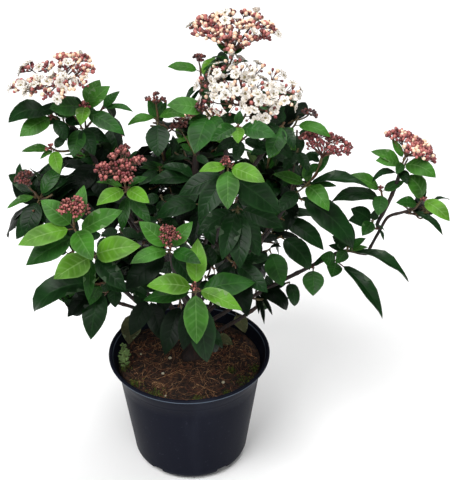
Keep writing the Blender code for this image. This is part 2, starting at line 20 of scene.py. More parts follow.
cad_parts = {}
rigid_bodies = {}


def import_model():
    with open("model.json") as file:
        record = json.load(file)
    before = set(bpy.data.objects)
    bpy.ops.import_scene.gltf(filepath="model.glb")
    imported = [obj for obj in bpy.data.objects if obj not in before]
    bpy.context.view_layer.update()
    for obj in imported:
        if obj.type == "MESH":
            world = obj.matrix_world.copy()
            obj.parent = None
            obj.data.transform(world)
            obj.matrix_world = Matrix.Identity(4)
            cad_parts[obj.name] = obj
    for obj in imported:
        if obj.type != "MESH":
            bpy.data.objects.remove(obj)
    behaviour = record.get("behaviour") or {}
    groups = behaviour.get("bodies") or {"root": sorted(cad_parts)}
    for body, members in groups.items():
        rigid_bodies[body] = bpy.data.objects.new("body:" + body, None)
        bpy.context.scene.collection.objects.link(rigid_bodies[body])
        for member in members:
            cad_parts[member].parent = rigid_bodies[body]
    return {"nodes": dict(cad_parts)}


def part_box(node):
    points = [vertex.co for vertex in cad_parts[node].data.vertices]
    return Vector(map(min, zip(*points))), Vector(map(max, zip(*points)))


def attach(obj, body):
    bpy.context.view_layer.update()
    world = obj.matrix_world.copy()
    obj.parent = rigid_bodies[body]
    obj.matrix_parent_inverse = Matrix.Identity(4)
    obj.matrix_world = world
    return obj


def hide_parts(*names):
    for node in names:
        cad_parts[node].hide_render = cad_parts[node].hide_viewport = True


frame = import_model()

LOG = logging.getLogger("laurustinus")
MM = 0.001
BODY = "root"
SEED = 1127
STEEP = 0.9
GOLDEN_ANGLE = math.pi * (3.0 - math.sqrt(5.0))
UP = np.array([0.0, 0.0, 1.0])
Array = np.ndarray
Material = bpy.types.Material
Object = bpy.types.Object
Socket = bpy.types.NodeSocket
Face = tuple[int, ...]
Inputs = dict[str | int, object]
Tone = tuple[int, int, int]
Pair = tuple[float, float]
Triple = tuple[float, float, float]


def unit(vector: Sequence[float]) -> Array:
    """Gives the direction of a vector, one unit long."""
    vector = np.asarray(vector, float)
    return vector / max(float(np.linalg.norm(vector)), 1e-9)


def tone(screen: Tone) -> tuple[float, float, float, float]:
    """Turns a screen colour, each part 0 to 255, into the linear colour that a shader needs."""
    parts = [c / 255 for c in screen]
    return (*(c / 12.92 if c <= 0.04045 else ((c + 0.055) / 1.055) ** 2.4 for c in parts), 1.0)


def hermite(start: Array, leave: Array, end: Array, arrive: Array, steps: int) -> Array:
    """Draws a smooth line between two points with given directions.

    Args:
        start: First point.
        leave: Velocity at the first point.
        end: Last point.
        arrive: Velocity at the last point.
        steps: How many pieces the line has.

    Returns:
        The points of the line, one row each.
    """
    t = np.linspace(0, 1, steps + 1)[:, None]
    return (
        (2 * t**3 - 3 * t**2 + 1) * start
        + (t**3 - 2 * t**2 + t) * leave
        + (-2 * t**3 + 3 * t**2) * end
        + (t**3 - t**2) * arrive
    )


@dataclass(frozen=True)
class Picture:
    """Where the photograph's camera stands, and the directions that it sees."""

    eye: Triple = (42.4, -1028.6, 925.0)
    pitch: float = 32.6
    focal_pixels: float = 1226.5
    width: int = 459
    height: int = 480

    def axes(self) -> Array:
        """Gives the directions right, up and towards the camera, one row each.

        Returns:
            Three rows of one unit each.
        """
        pitch = math.radians(self.pitch)
        sine, cosine = math.sin(pitch), math.cos(pitch)
        return np.array([[1.0, 0.0, 0.0], [0.0, sine, cosine], [0.0, -cosine, sine]])

    def world(self, seen: Sequence[float]) -> Array:
        """Turns a direction in the photograph's axes into the model's.

        Args:
            seen: Parts to the right, up, and towards the camera.

        Returns:
            The same direction along x, y and z.
        """
        return np.asarray(seen, float) @ self.axes()

    def seen(self, point: Array) -> Array:
        """Gives a point's place along the photograph's axes, in millimetres from the camera."""
        return self.axes() @ (np.asarray(point, float) - np.array(self.eye))

    def pixel(self, point: Array) -> Pair:
        """Gives the pixel of the photograph where a point shows.

        Args:
            point: The point, in the model's frame.

        Returns:
            Its place across and down, from the upper left corner.
        """
        right, up, near = self.seen(point)
        return (
            self.width / 2 - self.focal_pixels * right / near,
            self.height / 2 + self.focal_pixels * up / near,
        )


PICTURE = Picture()


class NodeTree:
    """The nodes of a material or a geometry tree, added and linked by short calls."""

    def __init__(self, tree: bpy.types.NodeTree) -> None:
        """Takes the tree that the nodes go into."""
        self.tree = tree

    def feed(self, socket: Socket, value: object) -> None:
        """Links a socket to another, or sets its value.

        Args:
            socket: The socket that takes the value.
            value: A socket, or a value.
        """
        if isinstance(value, Socket):
            self.tree.links.new(value, socket)
        else:
            socket.default_value = value

    def node(self, kind: str, inputs: Inputs | None = None, **settings: object) -> bpy.types.Node:
        """Adds a node.

        Args:
            kind: The node's type.
            inputs: Sockets or values for its inputs, by name or number.
            settings: Its options.

        Returns:
            The node.
        """
        made = self.tree.nodes.new(kind)
        for key, value in settings.items():
            setattr(made, key, value)
        for key, value in (inputs or {}).items():
            by_name = (s for s in made.inputs if s.name == key and s.enabled)
            self.feed(made.inputs[key] if isinstance(key, int) else next(by_name), value)
        return made

    def out(self, kind: str, inputs: Inputs | None = None, **settings: object) -> Socket:
        """Adds a node and gives its first output that is in use."""
        return next(s for s in self.node(kind, inputs, **settings).outputs if s.enabled)


class Shader(NodeTree):
    """One material's nodes, with short calls for those that the finishes share."""

    def __init__(self, name: str, roughness: float, shine: float = 0.5) -> None:
        """Starts a material with one surface shader.

        Args:
            name: The material's name.
            roughness: Roughness all over, unless a node takes it over.
            shine: How strongly it mirrors light, 0.5 for a usual surface.
        """
        self.material = bpy.data.materials.new(name)
        self.material.use_nodes = True
        super().__init__(self.material.node_tree)
        self.surface = self.tree.nodes["Principled BSDF"].inputs
        self.roughness(roughness)
        self.feed(self.surface["Specular IOR Level"], shine)

    def colour(self, value: object) -> None:
        """Sets the base colour."""
        self.feed(self.surface["Base Color"], value)

    def roughness(self, value: object) -> None:
        """Sets the roughness."""
        self.feed(self.surface["Roughness"], value)

    def place(self) -> Socket:
        """Gives the point's own place on the object, in metres."""
        return self.node("ShaderNodeTexCoord").outputs["Object"]

    def split(self, vector: Socket) -> Sequence[Socket]:
        """Gives the three parts of a vector."""
        return self.node("ShaderNodeSeparateXYZ", {0: vector}).outputs

    def blade_map(self) -> tuple[Socket, Socket]:
        """Gives how far a leaf's point lies from its midrib, 0 to 1, and its place along the leaf."""
        across, along, _ = self.split(self.out("ShaderNodeUVMap", uv_map="flat"))
        return self.math("ABSOLUTE", self.math("MULTIPLY_ADD", across, 2.0, -1.0)), along

    def noise(self, scale: float, detail: float = 3.0, squash: Triple = (1, 1, 1)) -> Socket:
        """Adds a noise over the object.

        Args:
            scale: Spots per metre, roughly.
            detail: How many finer layers it has.
            squash: Scale along x, y and z.

        Returns:
            The socket with values from 0 to 1.
        """
        vector = self.out("ShaderNodeMapping", {"Vector": self.place(), "Scale": squash})
        return self.out("ShaderNodeTexNoise", {"Vector": vector, "Scale": scale, "Detail": detail})

    def math(self, operation: str, *values: object) -> Socket:
        """Adds a sum on one to three values or sockets."""
        return self.out("ShaderNodeMath", dict(enumerate(values)), operation=operation)

    def span(self, value: object, low: float, high: float) -> Socket:
        """Stretches the values between low and high to 0 and 1, smoothly."""
        inputs = {"Value": value, "From Min": low, "From Max": high}
        return self.out("ShaderNodeMapRange", inputs, interpolation_type="SMOOTHSTEP")

    def fall(self, value: object, low: float, high: float) -> Socket:
        """Gives 1 below low, which falls smoothly to 0 at high."""
        return self.math("SUBTRACT", 1.0, self.span(value, low, high))

    def mix(self, share: object, first: object, second: object) -> Socket:
        """Mixes two colours."""
        return self.out("ShaderNodeMix", {0: share, 6: first, 7: second}, data_type="RGBA")

    def bump(self, height: object, deep: float, strength: float = 1.0) -> None:
        """Raises the surface by a height of 0 to 1.

        Args:
            height: The socket that gives the height.
            deep: How deep the full height is.
            strength: Share of the effect.
        """
        inputs = {"Height": height, "Distance": deep * MM, "Strength": strength}
        self.feed(self.surface["Normal"], self.out("ShaderNodeBump", inputs))


def scaled(colour: Sequence[float], by: float) -> tuple[float, ...]:
    """Makes a linear colour darker or lighter."""
    return (*(min(1.0, c * by) for c in colour[:3]), 1.0)


@dataclass(frozen=True)
class LeafFinish:
    """A leaf's upper side: leathery, quilted between its side veins, with a paler midrib."""

    name: str
    colour: Tone
    pale: Tone
    roughness: float
    vein_show: float
    quilt: float = 0.2
    veins: float = 6.5
    slant: float = 0.17
    shine: float = 0.16
    under_pale: float = 0.3

    def material(self) -> Material:
        """Builds the upper side's material.

        Returns:
            The material, which reads the blade's map.
        """
        shader = Shader(self.name, self.roughness, self.shine)
        side, along = shader.blade_map()
        phase = shader.math("MULTIPLY_ADD", side, -self.slant, along)
        wave = shader.math("COSINE", shader.math("MULTIPLY", phase, self.veins * 2 * math.pi))
        vein = shader.math("POWER", shader.math("MULTIPLY_ADD", wave, 0.5, 0.5), 4.0)
        vein = shader.math("MULTIPLY", vein, shader.fall(side, 0.55, 0.95))
        rib = shader.fall(side, 0.02, 0.09)
        base, pale = tone(self.colour), tone(self.pale)
        blotch = shader.span(shader.noise(48, 2), 0.3, 0.7)
        body = shader.mix(blotch, scaled(base, 0.66), scaled(base, 1.4))
        margin = shader.span(side, 0.72, 1.0)
        body = shader.mix(shader.math("MULTIPLY", margin, 0.3), body, scaled(pale, 0.85))
        body = shader.mix(shader.math("MULTIPLY", vein, self.vein_show * 0.4), body, pale)
        shader.colour(shader.mix(shader.math("MULTIPLY", rib, self.vein_show), body, pale))
        shader.roughness(shader.math("MULTIPLY_ADD", shader.noise(260, 2), 0.16, self.roughness - 0.08))
        fine = shader.math("MULTIPLY", shader.noise(900, 2), 0.16)
        shader.bump(shader.math("MULTIPLY_ADD", shader.math("MAXIMUM", vein, rib), -0.8, fine), self.quilt)
        return shader.material

    def underside(self) -> Material:
        """Builds the underside's material, paler and duller than the upper side.

        Returns:
            The material, which reads the blade's map.
        """
        shader = Shader(f"{self.name}_underside", 0.62)
        rib = shader.fall(shader.blade_map()[0], 0.03, 0.12)
        base = shader.mix(self.under_pale, scaled(tone(self.colour), 0.9), tone((126, 152, 104)))
        body = shader.mix(shader.span(shader.noise(60, 2), 0.3, 0.7), base, scaled(tone(self.pale), 0.62))
        show = shader.math("MULTIPLY", rib, self.under_pale + 0.15)
        shader.colour(shader.mix(show, body, tone((158, 172, 118))))
        shader.bump(rib, 0.5)
        return shader.material


class Tint(Enum):
    """How old a leaf is, with its finish; the darkest tint is painted shade for leaves deep in the crown or
    under others.
    """

    YOUNG = LeafFinish("leaf_young", (72, 118, 26), (132, 166, 98), 0.46, 0.34, 0.26)
    FRESH = LeafFinish("leaf_fresh", (46, 92, 24), (98, 140, 76), 0.44, 0.32, 0.26)
    MID = LeafFinish("leaf_mid", (26, 68, 17), (66, 110, 50), 0.40, 0.26, 0.24, under_pale=0.2)
    DARK = LeafFinish("leaf_dark", (13, 40, 13), (42, 78, 38), 0.38, 0.22, 0.2, shine=0.12, under_pale=0.1)
    # Near black: painted shade for leaves where the crown shades them, darker than any leaf's own colour.
    DEEP = LeafFinish("leaf_deep", (5, 18, 6), (18, 40, 18), 0.42, 0.16, 0.16, shine=0.08, under_pale=0.04)


YOUNG, FRESH, MID, DARK, DEEP = Tint


@dataclass(frozen=True)
class BarkFinish:
    """Thin bark with fine ridges along the wood and pale breathing pores."""

    name: str
    colour: Tone
    worn: Tone
    roughness: float = 0.7
    depth: float = 0.25

    def material(self) -> Material:
        """Builds the bark's material.

        Returns:
            The material.
        """
        shader = Shader(self.name, self.roughness)
        ridges = shader.noise(420, 4, (1, 1, 0.25))
        patches = shader.span(shader.noise(70, 3), 0.42, 0.66)
        body = shader.mix(patches, tone(self.colour), tone(self.worn))
        dark = shader.mix(shader.span(ridges, 0.36, 0.6), scaled(tone(self.colour), 0.45), body)
        pores = shader.out("ShaderNodeTexVoronoi", {"Vector": shader.place(), "Scale": 520}, feature="F1")
        pore = shader.fall(pores, 0.12, 0.24)
        shader.colour(shader.mix(shader.math("MULTIPLY", pore, 0.35), dark, scaled(tone(self.worn), 1.5)))
        shader.bump(shader.math("MULTIPLY_ADD", pore, 0.4, ridges), self.depth)
        return shader.material


@dataclass(frozen=True)
class PetalFinish:
    """A thin waxy petal, bud or flower part of one colour, a little uneven."""

    name: str
    colour: Tone
    shade: Tone
    roughness: float = 0.45
    glow: float = 0.12

    def material(self) -> Material:
        """Builds the petal's material.

        Returns:
            The material.
        """
        shader = Shader(self.name, self.roughness)
        patches = shader.span(shader.noise(330, 3), 0.35, 0.68)
        shader.colour(shader.mix(patches, tone(self.shade), tone(self.colour)))
        shader.feed(shader.surface["Subsurface Weight"], self.glow)
        shader.feed(shader.surface["Subsurface Radius"], (1.0, 0.7, 0.5))
        shader.feed(shader.surface["Subsurface Scale"], 0.8 * MM)
        shader.bump(shader.noise(1400, 2), 0.12)
        return shader.material


@dataclass(frozen=True)
class PlasticFinish:
    """Moulded black plastic, with dust in streaks, scuffs at its foot, and a painted highlight along its rim.
    """

    name: str = "pot_plastic"
    colour: Tone = (23, 25, 35)
    dust: Tone = (58, 62, 74)
    shine: float = 0.02
    rim_highlight: Tone = (104, 118, 134)
    rim_height: float = 127.4

    def material(self) -> Material:
        """Builds the plastic's material.

        Returns:
            The material.
        """
        shader = Shader(self.name, 0.5, self.shine)
        streaks = shader.span(shader.noise(34, 5, (1, 1, 0.16)), 0.5, 0.78)
        specks = shader.span(shader.noise(300, 3), 0.62, 0.74)
        height = shader.math("DIVIDE", shader.split(shader.place())[2], MM)
        # A thin band just under the rim's top is painted highlight: light blue-grey where light would catch
        # the bead.
        lip = shader.span(height, self.rim_height - 1.2, self.rim_height - 0.4)
        rim = shader.math("SUBTRACT", lip, shader.span(height, self.rim_height, self.rim_height + 1))
        foot = shader.fall(height, 1, 16)
        worn = 0.0
        for mark, strength in ((streaks, 0.22), (specks, 0.3), (foot, 0.12)):
            worn = shader.math("MAXIMUM", worn, shader.math("MULTIPLY", mark, strength))
        body = shader.mix(worn, tone(self.colour), tone(self.dust))
        shader.colour(shader.mix(shader.math("MULTIPLY", rim, 0.75), body, tone(self.rim_highlight)))
        shader.roughness(shader.math("MULTIPLY_ADD", streaks, 0.18, 0.36))
        rings = shader.math("SINE", shader.math("MULTIPLY", height, 2 * math.pi / 2.2))
        shader.bump(shader.math("MULTIPLY_ADD", rings, 0.05, shader.noise(700, 3)), 0.1, 0.6)
        return shader.material


@dataclass(frozen=True)
class EarthFinish:
    """Loose matter: peat, fibre, moss or grains, mottled and dull."""

    name: str
    colour: Tone
    dark: Tone
    spot: float = 260.0
    depth: float = 0.6

    def material(self) -> Material:
        """Builds the loose matter's material.

        Returns:
            The material.
        """
        shader = Shader(self.name, 0.92)
        mottle = shader.span(shader.noise(self.spot, 5), 0.36, 0.66)
        broad = shader.span(shader.noise(38, 2), 0.35, 0.7)
        body = shader.mix(mottle, tone(self.dark), tone(self.colour))
        shader.colour(shader.mix(shader.math("MULTIPLY", broad, 0.62), body, scaled(tone(self.dark), 0.8)))
        shader.bump(shader.noise(self.spot * 2.2, 5), self.depth)
        return shader.material


class MeshParts:
    """Points and faces gathered from several shapes, which become one mesh at the end."""

    def __init__(self) -> None:
        """Starts empty."""
        self.points: list[Array] = []
        self.flats: list[Array] = []
        self.faces: list[Face] = []
        self.finishes: list[int] = []
        self.margins: set[tuple[int, int]] = set()
        self.count = 0

    def add(
        self,
        points: Array,
        faces: Sequence[Face],
        finish: int | Sequence[int] = 0,
        flat: Array | None = None,
        margins: Sequence[tuple[int, int]] = (),
    ) -> None:
        """Adds one shape.

        Args:
            points: Its points, one row each.
            faces: Its faces, by the points' numbers.
            finish: Which of the piece's materials it takes, or each face takes.
            flat: Each point's place on the surface's map.
            margins: Pairs of points between which the shading breaks.
        """
        self.points.append(np.asarray(points, float))
        self.flats.append(np.zeros((len(points), 2)) if flat is None else flat)
        self.faces += [tuple(i + self.count for i in face) for face in faces]
        self.finishes += [finish] * len(faces) if isinstance(finish, int) else finish
        self.margins |= {(min(a, b) + self.count, max(a, b) + self.count) for a, b in margins}
        self.count += len(points)

    def join(self, other: "MeshParts", turn: Array, move: Array, size: float = 1.0) -> None:
        """Adds a turned, moved and scaled copy of other parts.

        Args:
            other: What is copied.
            turn: Three rows, the copy's own axes.
            move: Where the copy's origin goes.
            size: The copy's scale.
        """
        points = np.concatenate(other.points) * size @ turn + move
        order = sorted(range(len(other.faces)), key=other.finishes.__getitem__)
        faces, finishes = [other.faces[k] for k in order], [other.finishes[k] for k in order]
        self.add(points, faces, finishes, np.concatenate(other.flats), other.margins)

    def mesh(self, name: str, scale: float = 1.0) -> bpy.types.Mesh:
        """Makes the mesh.

        Args:
            name: Its name.
            scale: What the points are multiplied by.

        Returns:
            A smooth mesh with its map, and each face's finish as a number.
        """
        mesh = bpy.data.meshes.new(name)
        mesh.from_pydata((np.concatenate(self.points) * scale).tolist(), [], self.faces)
        corners = np.zeros(len(mesh.loops), int)
        mesh.loops.foreach_get("vertex_index", corners)
        flats = np.concatenate(self.flats)[corners]
        mesh.uv_layers.new(name="flat").data.foreach_set("uv", flats.ravel())
        mesh.attributes.new("finish", "INT", "FACE").data.foreach_set("value", self.finishes)
        mesh.polygons.foreach_set("use_smooth", [True] * len(mesh.polygons))
        mesh.polygons.foreach_set("material_index", self.finishes)
        for edge in mesh.edges:
            if tuple(sorted(edge.vertices)) in self.margins:
                edge.use_edge_sharp = True
        mesh.update()
        return mesh


def add_object(name: str, mesh: bpy.types.Mesh) -> Object:
    """Puts a mesh into the scene as an object at the origin.

    Args:
        name: Its name.
        mesh: Its mesh.

    Returns:
        The object.
    """
    made = bpy.data.objects.new(name, mesh)
    bpy.context.scene.collection.objects.link(made)
    return made


def hand_over(piece: Object, nodes: Sequence[str] = ()) -> None:
    """Attaches a finished piece to its body, hides the CAD nodes that it stands for, and reports its
    triangles.

    Args:
        piece: The finished piece.
        nodes: CAD nodes that the piece replaces.
    """
    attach(piece, BODY)
    if nodes:
        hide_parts(*nodes)
    triangles = sum(len(p.vertices) - 2 for p in piece.data.polygons)
    LOG.info("%s: %d triangles", piece.name, triangles)


class GrowthTree(NodeTree):
    """A Geometry Nodes tree built in code, run once on an object, and then taken off it."""

    def __init__(self, name: str) -> None:
        """Starts a named tree with a geometry going in and one coming out.

        Args:
            name: The tree's name.
        """
        super().__init__(bpy.data.node_groups.new(name, "GeometryNodeTree"))
        for way in ("INPUT", "OUTPUT"):
            self.tree.interface.new_socket("Geometry", in_out=way, socket_type="NodeSocketGeometry")
        self.entry = self.node("NodeGroupInput")
        self.exit = self.node("NodeGroupOutput")

    def named(self, name: str, kind: str) -> Socket:
        """Adds a named input and gives its socket inside the tree."""
        self.tree.interface.new_socket(name, in_out="INPUT", socket_type=kind)
        return self.entry.outputs[name]

    def attribute(self, name: str, kind: str) -> Socket:
        """Reads a named attribute."""
        return self.out("GeometryNodeInputNamedAttribute", {"Name": name}, data_type=kind)

    def dress(self, geometry: Socket, finishes: int) -> None:
        """Ends the tree: real geometry, smooth, with a material for each finish.

        Args:
            geometry: What comes out.
            finishes: How many materials it has.
        """
        for kind in ("GeometryNodeRealizeInstances", "GeometryNodeSetShadeSmooth"):
            geometry = self.out(kind, {"Geometry": geometry})
        number = self.attribute("finish", "INT")
        for index in range(finishes):
            material = self.named(f"Finish {index}", "NodeSocketMaterial")
            inputs = {"A": number, "B": index}
            chosen = self.out("FunctionNodeCompare", inputs, data_type="INT", operation="GREATER_EQUAL")
            inputs = {"Geometry": geometry, "Selection": chosen, "Material": material}
            geometry = self.out("GeometryNodeSetMaterial", inputs)
        self.tree.links.new(geometry, self.exit.inputs[0])

    def run(self, carrier: Object, values: dict[str, object]) -> Object:
        """Runs the tree on an object and keeps the result as its mesh.

        Args:
            carrier: The object whose mesh goes in.
            values: The named inputs' values.

        Returns:
            The object, with the result.
        """
        modifier = carrier.modifiers.new("growth", "NODES")
        modifier.node_group = self.tree
        for item in self.tree.interface.items_tree:
            if item.in_out == "INPUT" and item.name in values:
                modifier[item.identifier] = values[item.name]
        graph = bpy.context.evaluated_depsgraph_get()
        grown = carrier.evaluated_get(graph)
        result = bpy.data.meshes.new_from_object(grown, preserve_all_data_layers=True, depsgraph=graph)
        carrier.modifiers.remove(modifier)
        result.name = carrier.name
        carrier.data = result
        return carrier


class Scatter:
    """Small shapes dealt out at points, each with its own turn and size."""

    def __init__(self, name: str, shapes: Sequence[MeshParts]) -> None:
        """Starts with nothing dealt.

        Args:
            name: The piece's name.
            shapes: The shapes to deal, in their own units.
        """
        self.name = name
        self.shapes = shapes
        self.places: list[Array] = []
        self.turns: list[Triple] = []
        self.sizes: list[Triple] = []
        self.kinds: list[int] = []

    def deal(self, place: Array, along: Array, face: Array, size: Triple | float, kind: int = 0) -> None:
        """Deals one shape, its own y axis along one direction and its z axis as near as can be to another.

        Args:
            place: Where its origin goes.
            along: Where its y axis points.
            face: Where its z axis leans.
            size: Its scale, or that across, along and through, in millimetres for each of its units.
            kind: Which shape it is.
        """
        along = unit(along)
        side = unit(np.cross(along, face))
        turn = Matrix(np.stack([side, along, np.cross(side, along)], axis=1).tolist()).to_euler()
        self.places.append(np.asarray(place, float) * MM)
        self.turns.append(tuple(turn))
        self.sizes.append(tuple(np.broadcast_to(size, 3) * MM))
        self.kinds.append(kind)

    def build(self, *finishes: Material) -> Object:
        """Deals the shapes by Geometry Nodes.

        Args:
            finishes: The materials, in the order of the shapes' finish numbers.

        Returns:
            The piece, one plain mesh.
        """
        store = bpy.data.collections.new(f"{self.name}_shapes")
        bpy.context.scene.collection.children.link(store)
        for index, shape in enumerate(self.shapes):
            name = f"{self.name}_{index:02d}"
            store.objects.link(bpy.data.objects.new(name, shape.mesh(name)))
        mesh = bpy.data.meshes.new(self.name)
        mesh.from_pydata([tuple(p) for p in self.places], [], [])
        for key, values in (("turn", self.turns), ("size", self.sizes)):
            layer = mesh.attributes.new(key, "FLOAT_VECTOR", "POINT")
            layer.data.foreach_set("vector", np.array(values, np.float32).ravel())
        mesh.attributes.new("kind", "INT", "POINT").data.foreach_set("value", self.kinds)

        tree = GrowthTree(f"{self.name}_dealer")
        source = tree.named("Shapes", "NodeSocketCollection")
        inputs = {"Collection": source, "Separate Children": True, "Reset Children": True}
        copies = tree.out("GeometryNodeCollectionInfo", inputs)
        turn = tree.out("FunctionNodeEulerToRotation", {"Euler": tree.attribute("turn", "FLOAT_VECTOR")})
        inputs = {
            "Points": tree.entry.outputs[0],
            "Instance": copies,
            "Pick Instance": True,
            "Instance Index": tree.attribute("kind", "INT"),
            "Rotation": turn,
            "Scale": tree.attribute("size", "FLOAT_VECTOR"),
        }
        tree.dress(tree.out("GeometryNodeInstanceOnPoints", inputs), len(finishes))
        values = {f"Finish {i}": finish for i, finish in enumerate(finishes)} | {"Shapes": store}
        piece = tree.run(add_object(self.name, mesh), values)
        for shape in list(store.objects):
            bpy.data.objects.remove(shape)
        bpy.data.collections.remove(store)
        return piece


class Strands:
    """Lines with a thickness along them, such as twigs, stalks and fibres, made round by Geometry Nodes."""

    def __init__(self, name: str, sides: int = 6) -> None:
        """Starts with no lines.

        Args:
            name: The piece's name.
            sides: How many sides a line's section has.
        """
        self.name = name
        self.sides = sides
        self.points: list[Array] = []
        self.radii: list[float] = []
        self.edges: list[tuple[int, int]] = []

    def add(self, line: Array, radii: Array) -> None:
        """Adds a line, with its radius at each point.

        Args:
            line: Its points, one row each.
            radii: The radius at each point.
        """
        first = len(self.radii)
        self.points.append(np.asarray(line, float) * MM)
        self.radii += [float(r) * MM for r in radii]
        self.edges += [(i, i + 1) for i in range(first, len(self.radii) - 1)]

    def build(self, finish: Material) -> Object:
        """Makes the lines round.

        Args:
            finish: Their material.

        Returns:
            The piece, one plain mesh.
        """
        mesh = bpy.data.meshes.new(self.name)
        mesh.from_pydata(np.concatenate(self.points).tolist(), self.edges, [])
        mesh.attributes.new("thick", "FLOAT", "POINT").data.foreach_set("value", self.radii)
        tree = GrowthTree(f"{self.name}_rounder")
        ring = {"Resolution": tree.named("Sides", "NodeSocketInt"), "Radius": 1.0}
        inputs = {
            "Curve": tree.out("GeometryNodeMeshToCurve", {"Mesh": tree.entry.outputs[0]}),
            "Profile Curve": tree.out("GeometryNodeCurvePrimitiveCircle", ring),
            "Scale": tree.attribute("thick", "FLOAT"),
            "Fill Caps": True,
        }
        tree.dress(tree.out("GeometryNodeCurveToMesh", inputs), 1)
        return tree.run(add_object(self.name, mesh), {"Sides": self.sides, "Finish 0": finish})


@dataclass(frozen=True)
class Blade:
    """A leaf or petal, one unit from the foot of its stalk to its tip, with its upper side up."""

    width: float = 0.42
    stalk: float = 0.12
    base_fullness: float = 0.72
    tip_fullness: float = 1.02
    droop: float = 30.0
    fold: float = 12.0
    recurve: float = 0.1
    twist: float = 0.0
    wave: float = 0.04
    phase: float = 0.0
    waves: float = 1.6
    side_phase: float = 1.1
    evenness: float = 0.45
    rows: int = 9
    columns: tuple[float, ...] = (-1.0, -0.52, -0.08, 0.08, 0.52, 1.0)
    thickness: float = 0.014
    under_finish: int = 1
    stalk_finish: int = 2
    stalk_radii: tuple[float, ...] = (0.019, 0.014, 0.013, 0.006)

    def shares(self) -> Array:
        """Gives the rows' places along the blade, closer at its ends."""
        even = np.linspace(0, 1, self.rows + 1)
        return self.evenness * even + (1 - self.evenness) * (0.5 - 0.5 * np.cos(np.pi * even))

    def outline(self, share: Array) -> Array:
        """Gives the half width at shares of the blade's length.

        Args:
            share: Shares of the length from the blade's foot to its tip.

        Returns:
            Half the width at each share.
        """
        peak = self.base_fullness / (self.base_fullness + self.tip_fullness)
        top = peak**self.base_fullness * (1 - peak) ** self.tip_fullness
        return 0.5 * self.width * share**self.base_fullness * (1 - share) ** self.tip_fullness / top

    def spine(self, places: Array) -> tuple[Array, Array]:
        """Bends the middle line.

        Args:
            places: Shares of the whole length, from the stalk's foot to the tip.

        Returns:
            The y and z of each place, and the angle there in radians.
        """
        fine = np.linspace(0, 1, 61)
        angle = -math.radians(self.droop) * fine**1.3
        steps = np.diff(fine, prepend=0.0)
        ways = [np.interp(places, fine, np.cumsum(turn(angle) * steps)) for turn in (np.cos, np.sin)]
        return np.stack(ways, axis=1), np.interp(places, fine, angle)

    def surface(self) -> tuple[list[Array], list[Pair], list[list[int]], list[list[int]], Face]:
        """Places the points of the upper side and the underside.

        Returns:
            The points, their places on the map, the rows above and below, and the foot's and tip's numbers.
        """
        shares = self.shares()
        line, angle = self.spine(self.stalk + (1 - self.stalk) * shares)
        half = self.outline(np.clip(shares, 0, 1))
        lift = math.tan(math.radians(self.fold))
        points: list[Array] = []
        flats: list[Pair] = []

        def place(row: int, column: float, sunk: float = 0.0) -> int:
            """Adds the point of a row at a column, sunk below the upper side.

            Args:
                row: The row's number, from the foot.
                column: How far it lies across, -1 to 1.
                sunk: How far it lies below the upper side.

            Returns:
                The point's number.
            """
            swing = 2 * math.pi * self.waves * shares[row] + self.phase
            swing += math.copysign(self.side_phase, column)
            wave = self.wave * math.sin(swing) * column**2 * half[row] * 3
            rise = half[row] * (lift * abs(column) - self.recurve * column**4) + wave - sunk
            turn = math.radians(self.twist) * shares[row]
            across = half[row] * column
            side = across * math.cos(turn) - rise * math.sin(turn)
            up = across * math.sin(turn) + rise * math.cos(turn)
            y = line[row][0] - up * math.sin(angle[row])
            z = line[row][1] + up * math.cos(angle[row])
            points.append(np.array([side, y, z]))
            flats.append((0.5 + 0.5 * column, float(shares[row])))
            return len(points) - 1

        ends = place(0, 0.0), place(self.rows, 0.0)
        above = [[place(row, column) for column in self.columns] for row in range(1, self.rows)]
        below = [[ring[0], place(row + 1, 0.0, self.thickness), ring[-1]] for row, ring in enumerate(above)]
        return points, flats, above, below, ends

    def parts(self) -> MeshParts:
        """Builds the blade with its stalk, closed all round.

        Returns:
            Its faces, with the upper side, the underside and the stalk as finishes.
        """
        points, flats, above, below, (foot, tip) = self.surface()
        parts = MeshParts()
        margins = [(a[k], b[k]) for a, b in zip(above, above[1:]) for k in (0, -1)]
        margins += [(end, ring[k]) for end, ring in ((foot, above[0]), (tip, above[-1])) for k in (0, -1)]
        faces: list[Face] = []
        finishes: list[int] = []
        for rings, step, finish in ((above, 1, 0), (below, -1, self.under_finish)):
            side: list[Face] = []
            for a, b in zip(rings, rings[1:]):
                side += [(a[j], a[j + 1], b[j + 1], b[j]) for j in range(len(a) - 1)]
            first, last = rings[0], rings[-1]
            side += [(foot, first[j + 1], first[j]) for j in range(len(first) - 1)]
            side += [(last[j], last[j + 1], tip) for j in range(len(last) - 1)]
            faces += [face[::step] for face in side]
            finishes += [finish] * len(side)
        parts.add(np.array(points), faces, finishes, np.array(flats), margins)
        if self.stalk > 0:
            count = len(self.stalk_radii)
            centre, _ = self.spine(np.linspace(0, self.stalk * 1.3, count))
            path = np.column_stack([np.zeros(count), centre[:, 0], centre[:, 1] - self.thickness * 0.6])
            path[0, 2] = 0.0
            rings, faces = tube(path, np.array(self.stalk_radii), 4)
            parts.add(rings, faces, self.stalk_finish, np.full((len(rings), 2), 0.5))
        end = points[tip]
        level = Matrix.Rotation(-math.atan2(end[2], end[1]), 3, "X")
        whole = MeshParts()
        whole.join(parts, np.array(level.transposed()), np.zeros(3), 1 / math.hypot(end[1], end[2]))
        return whole


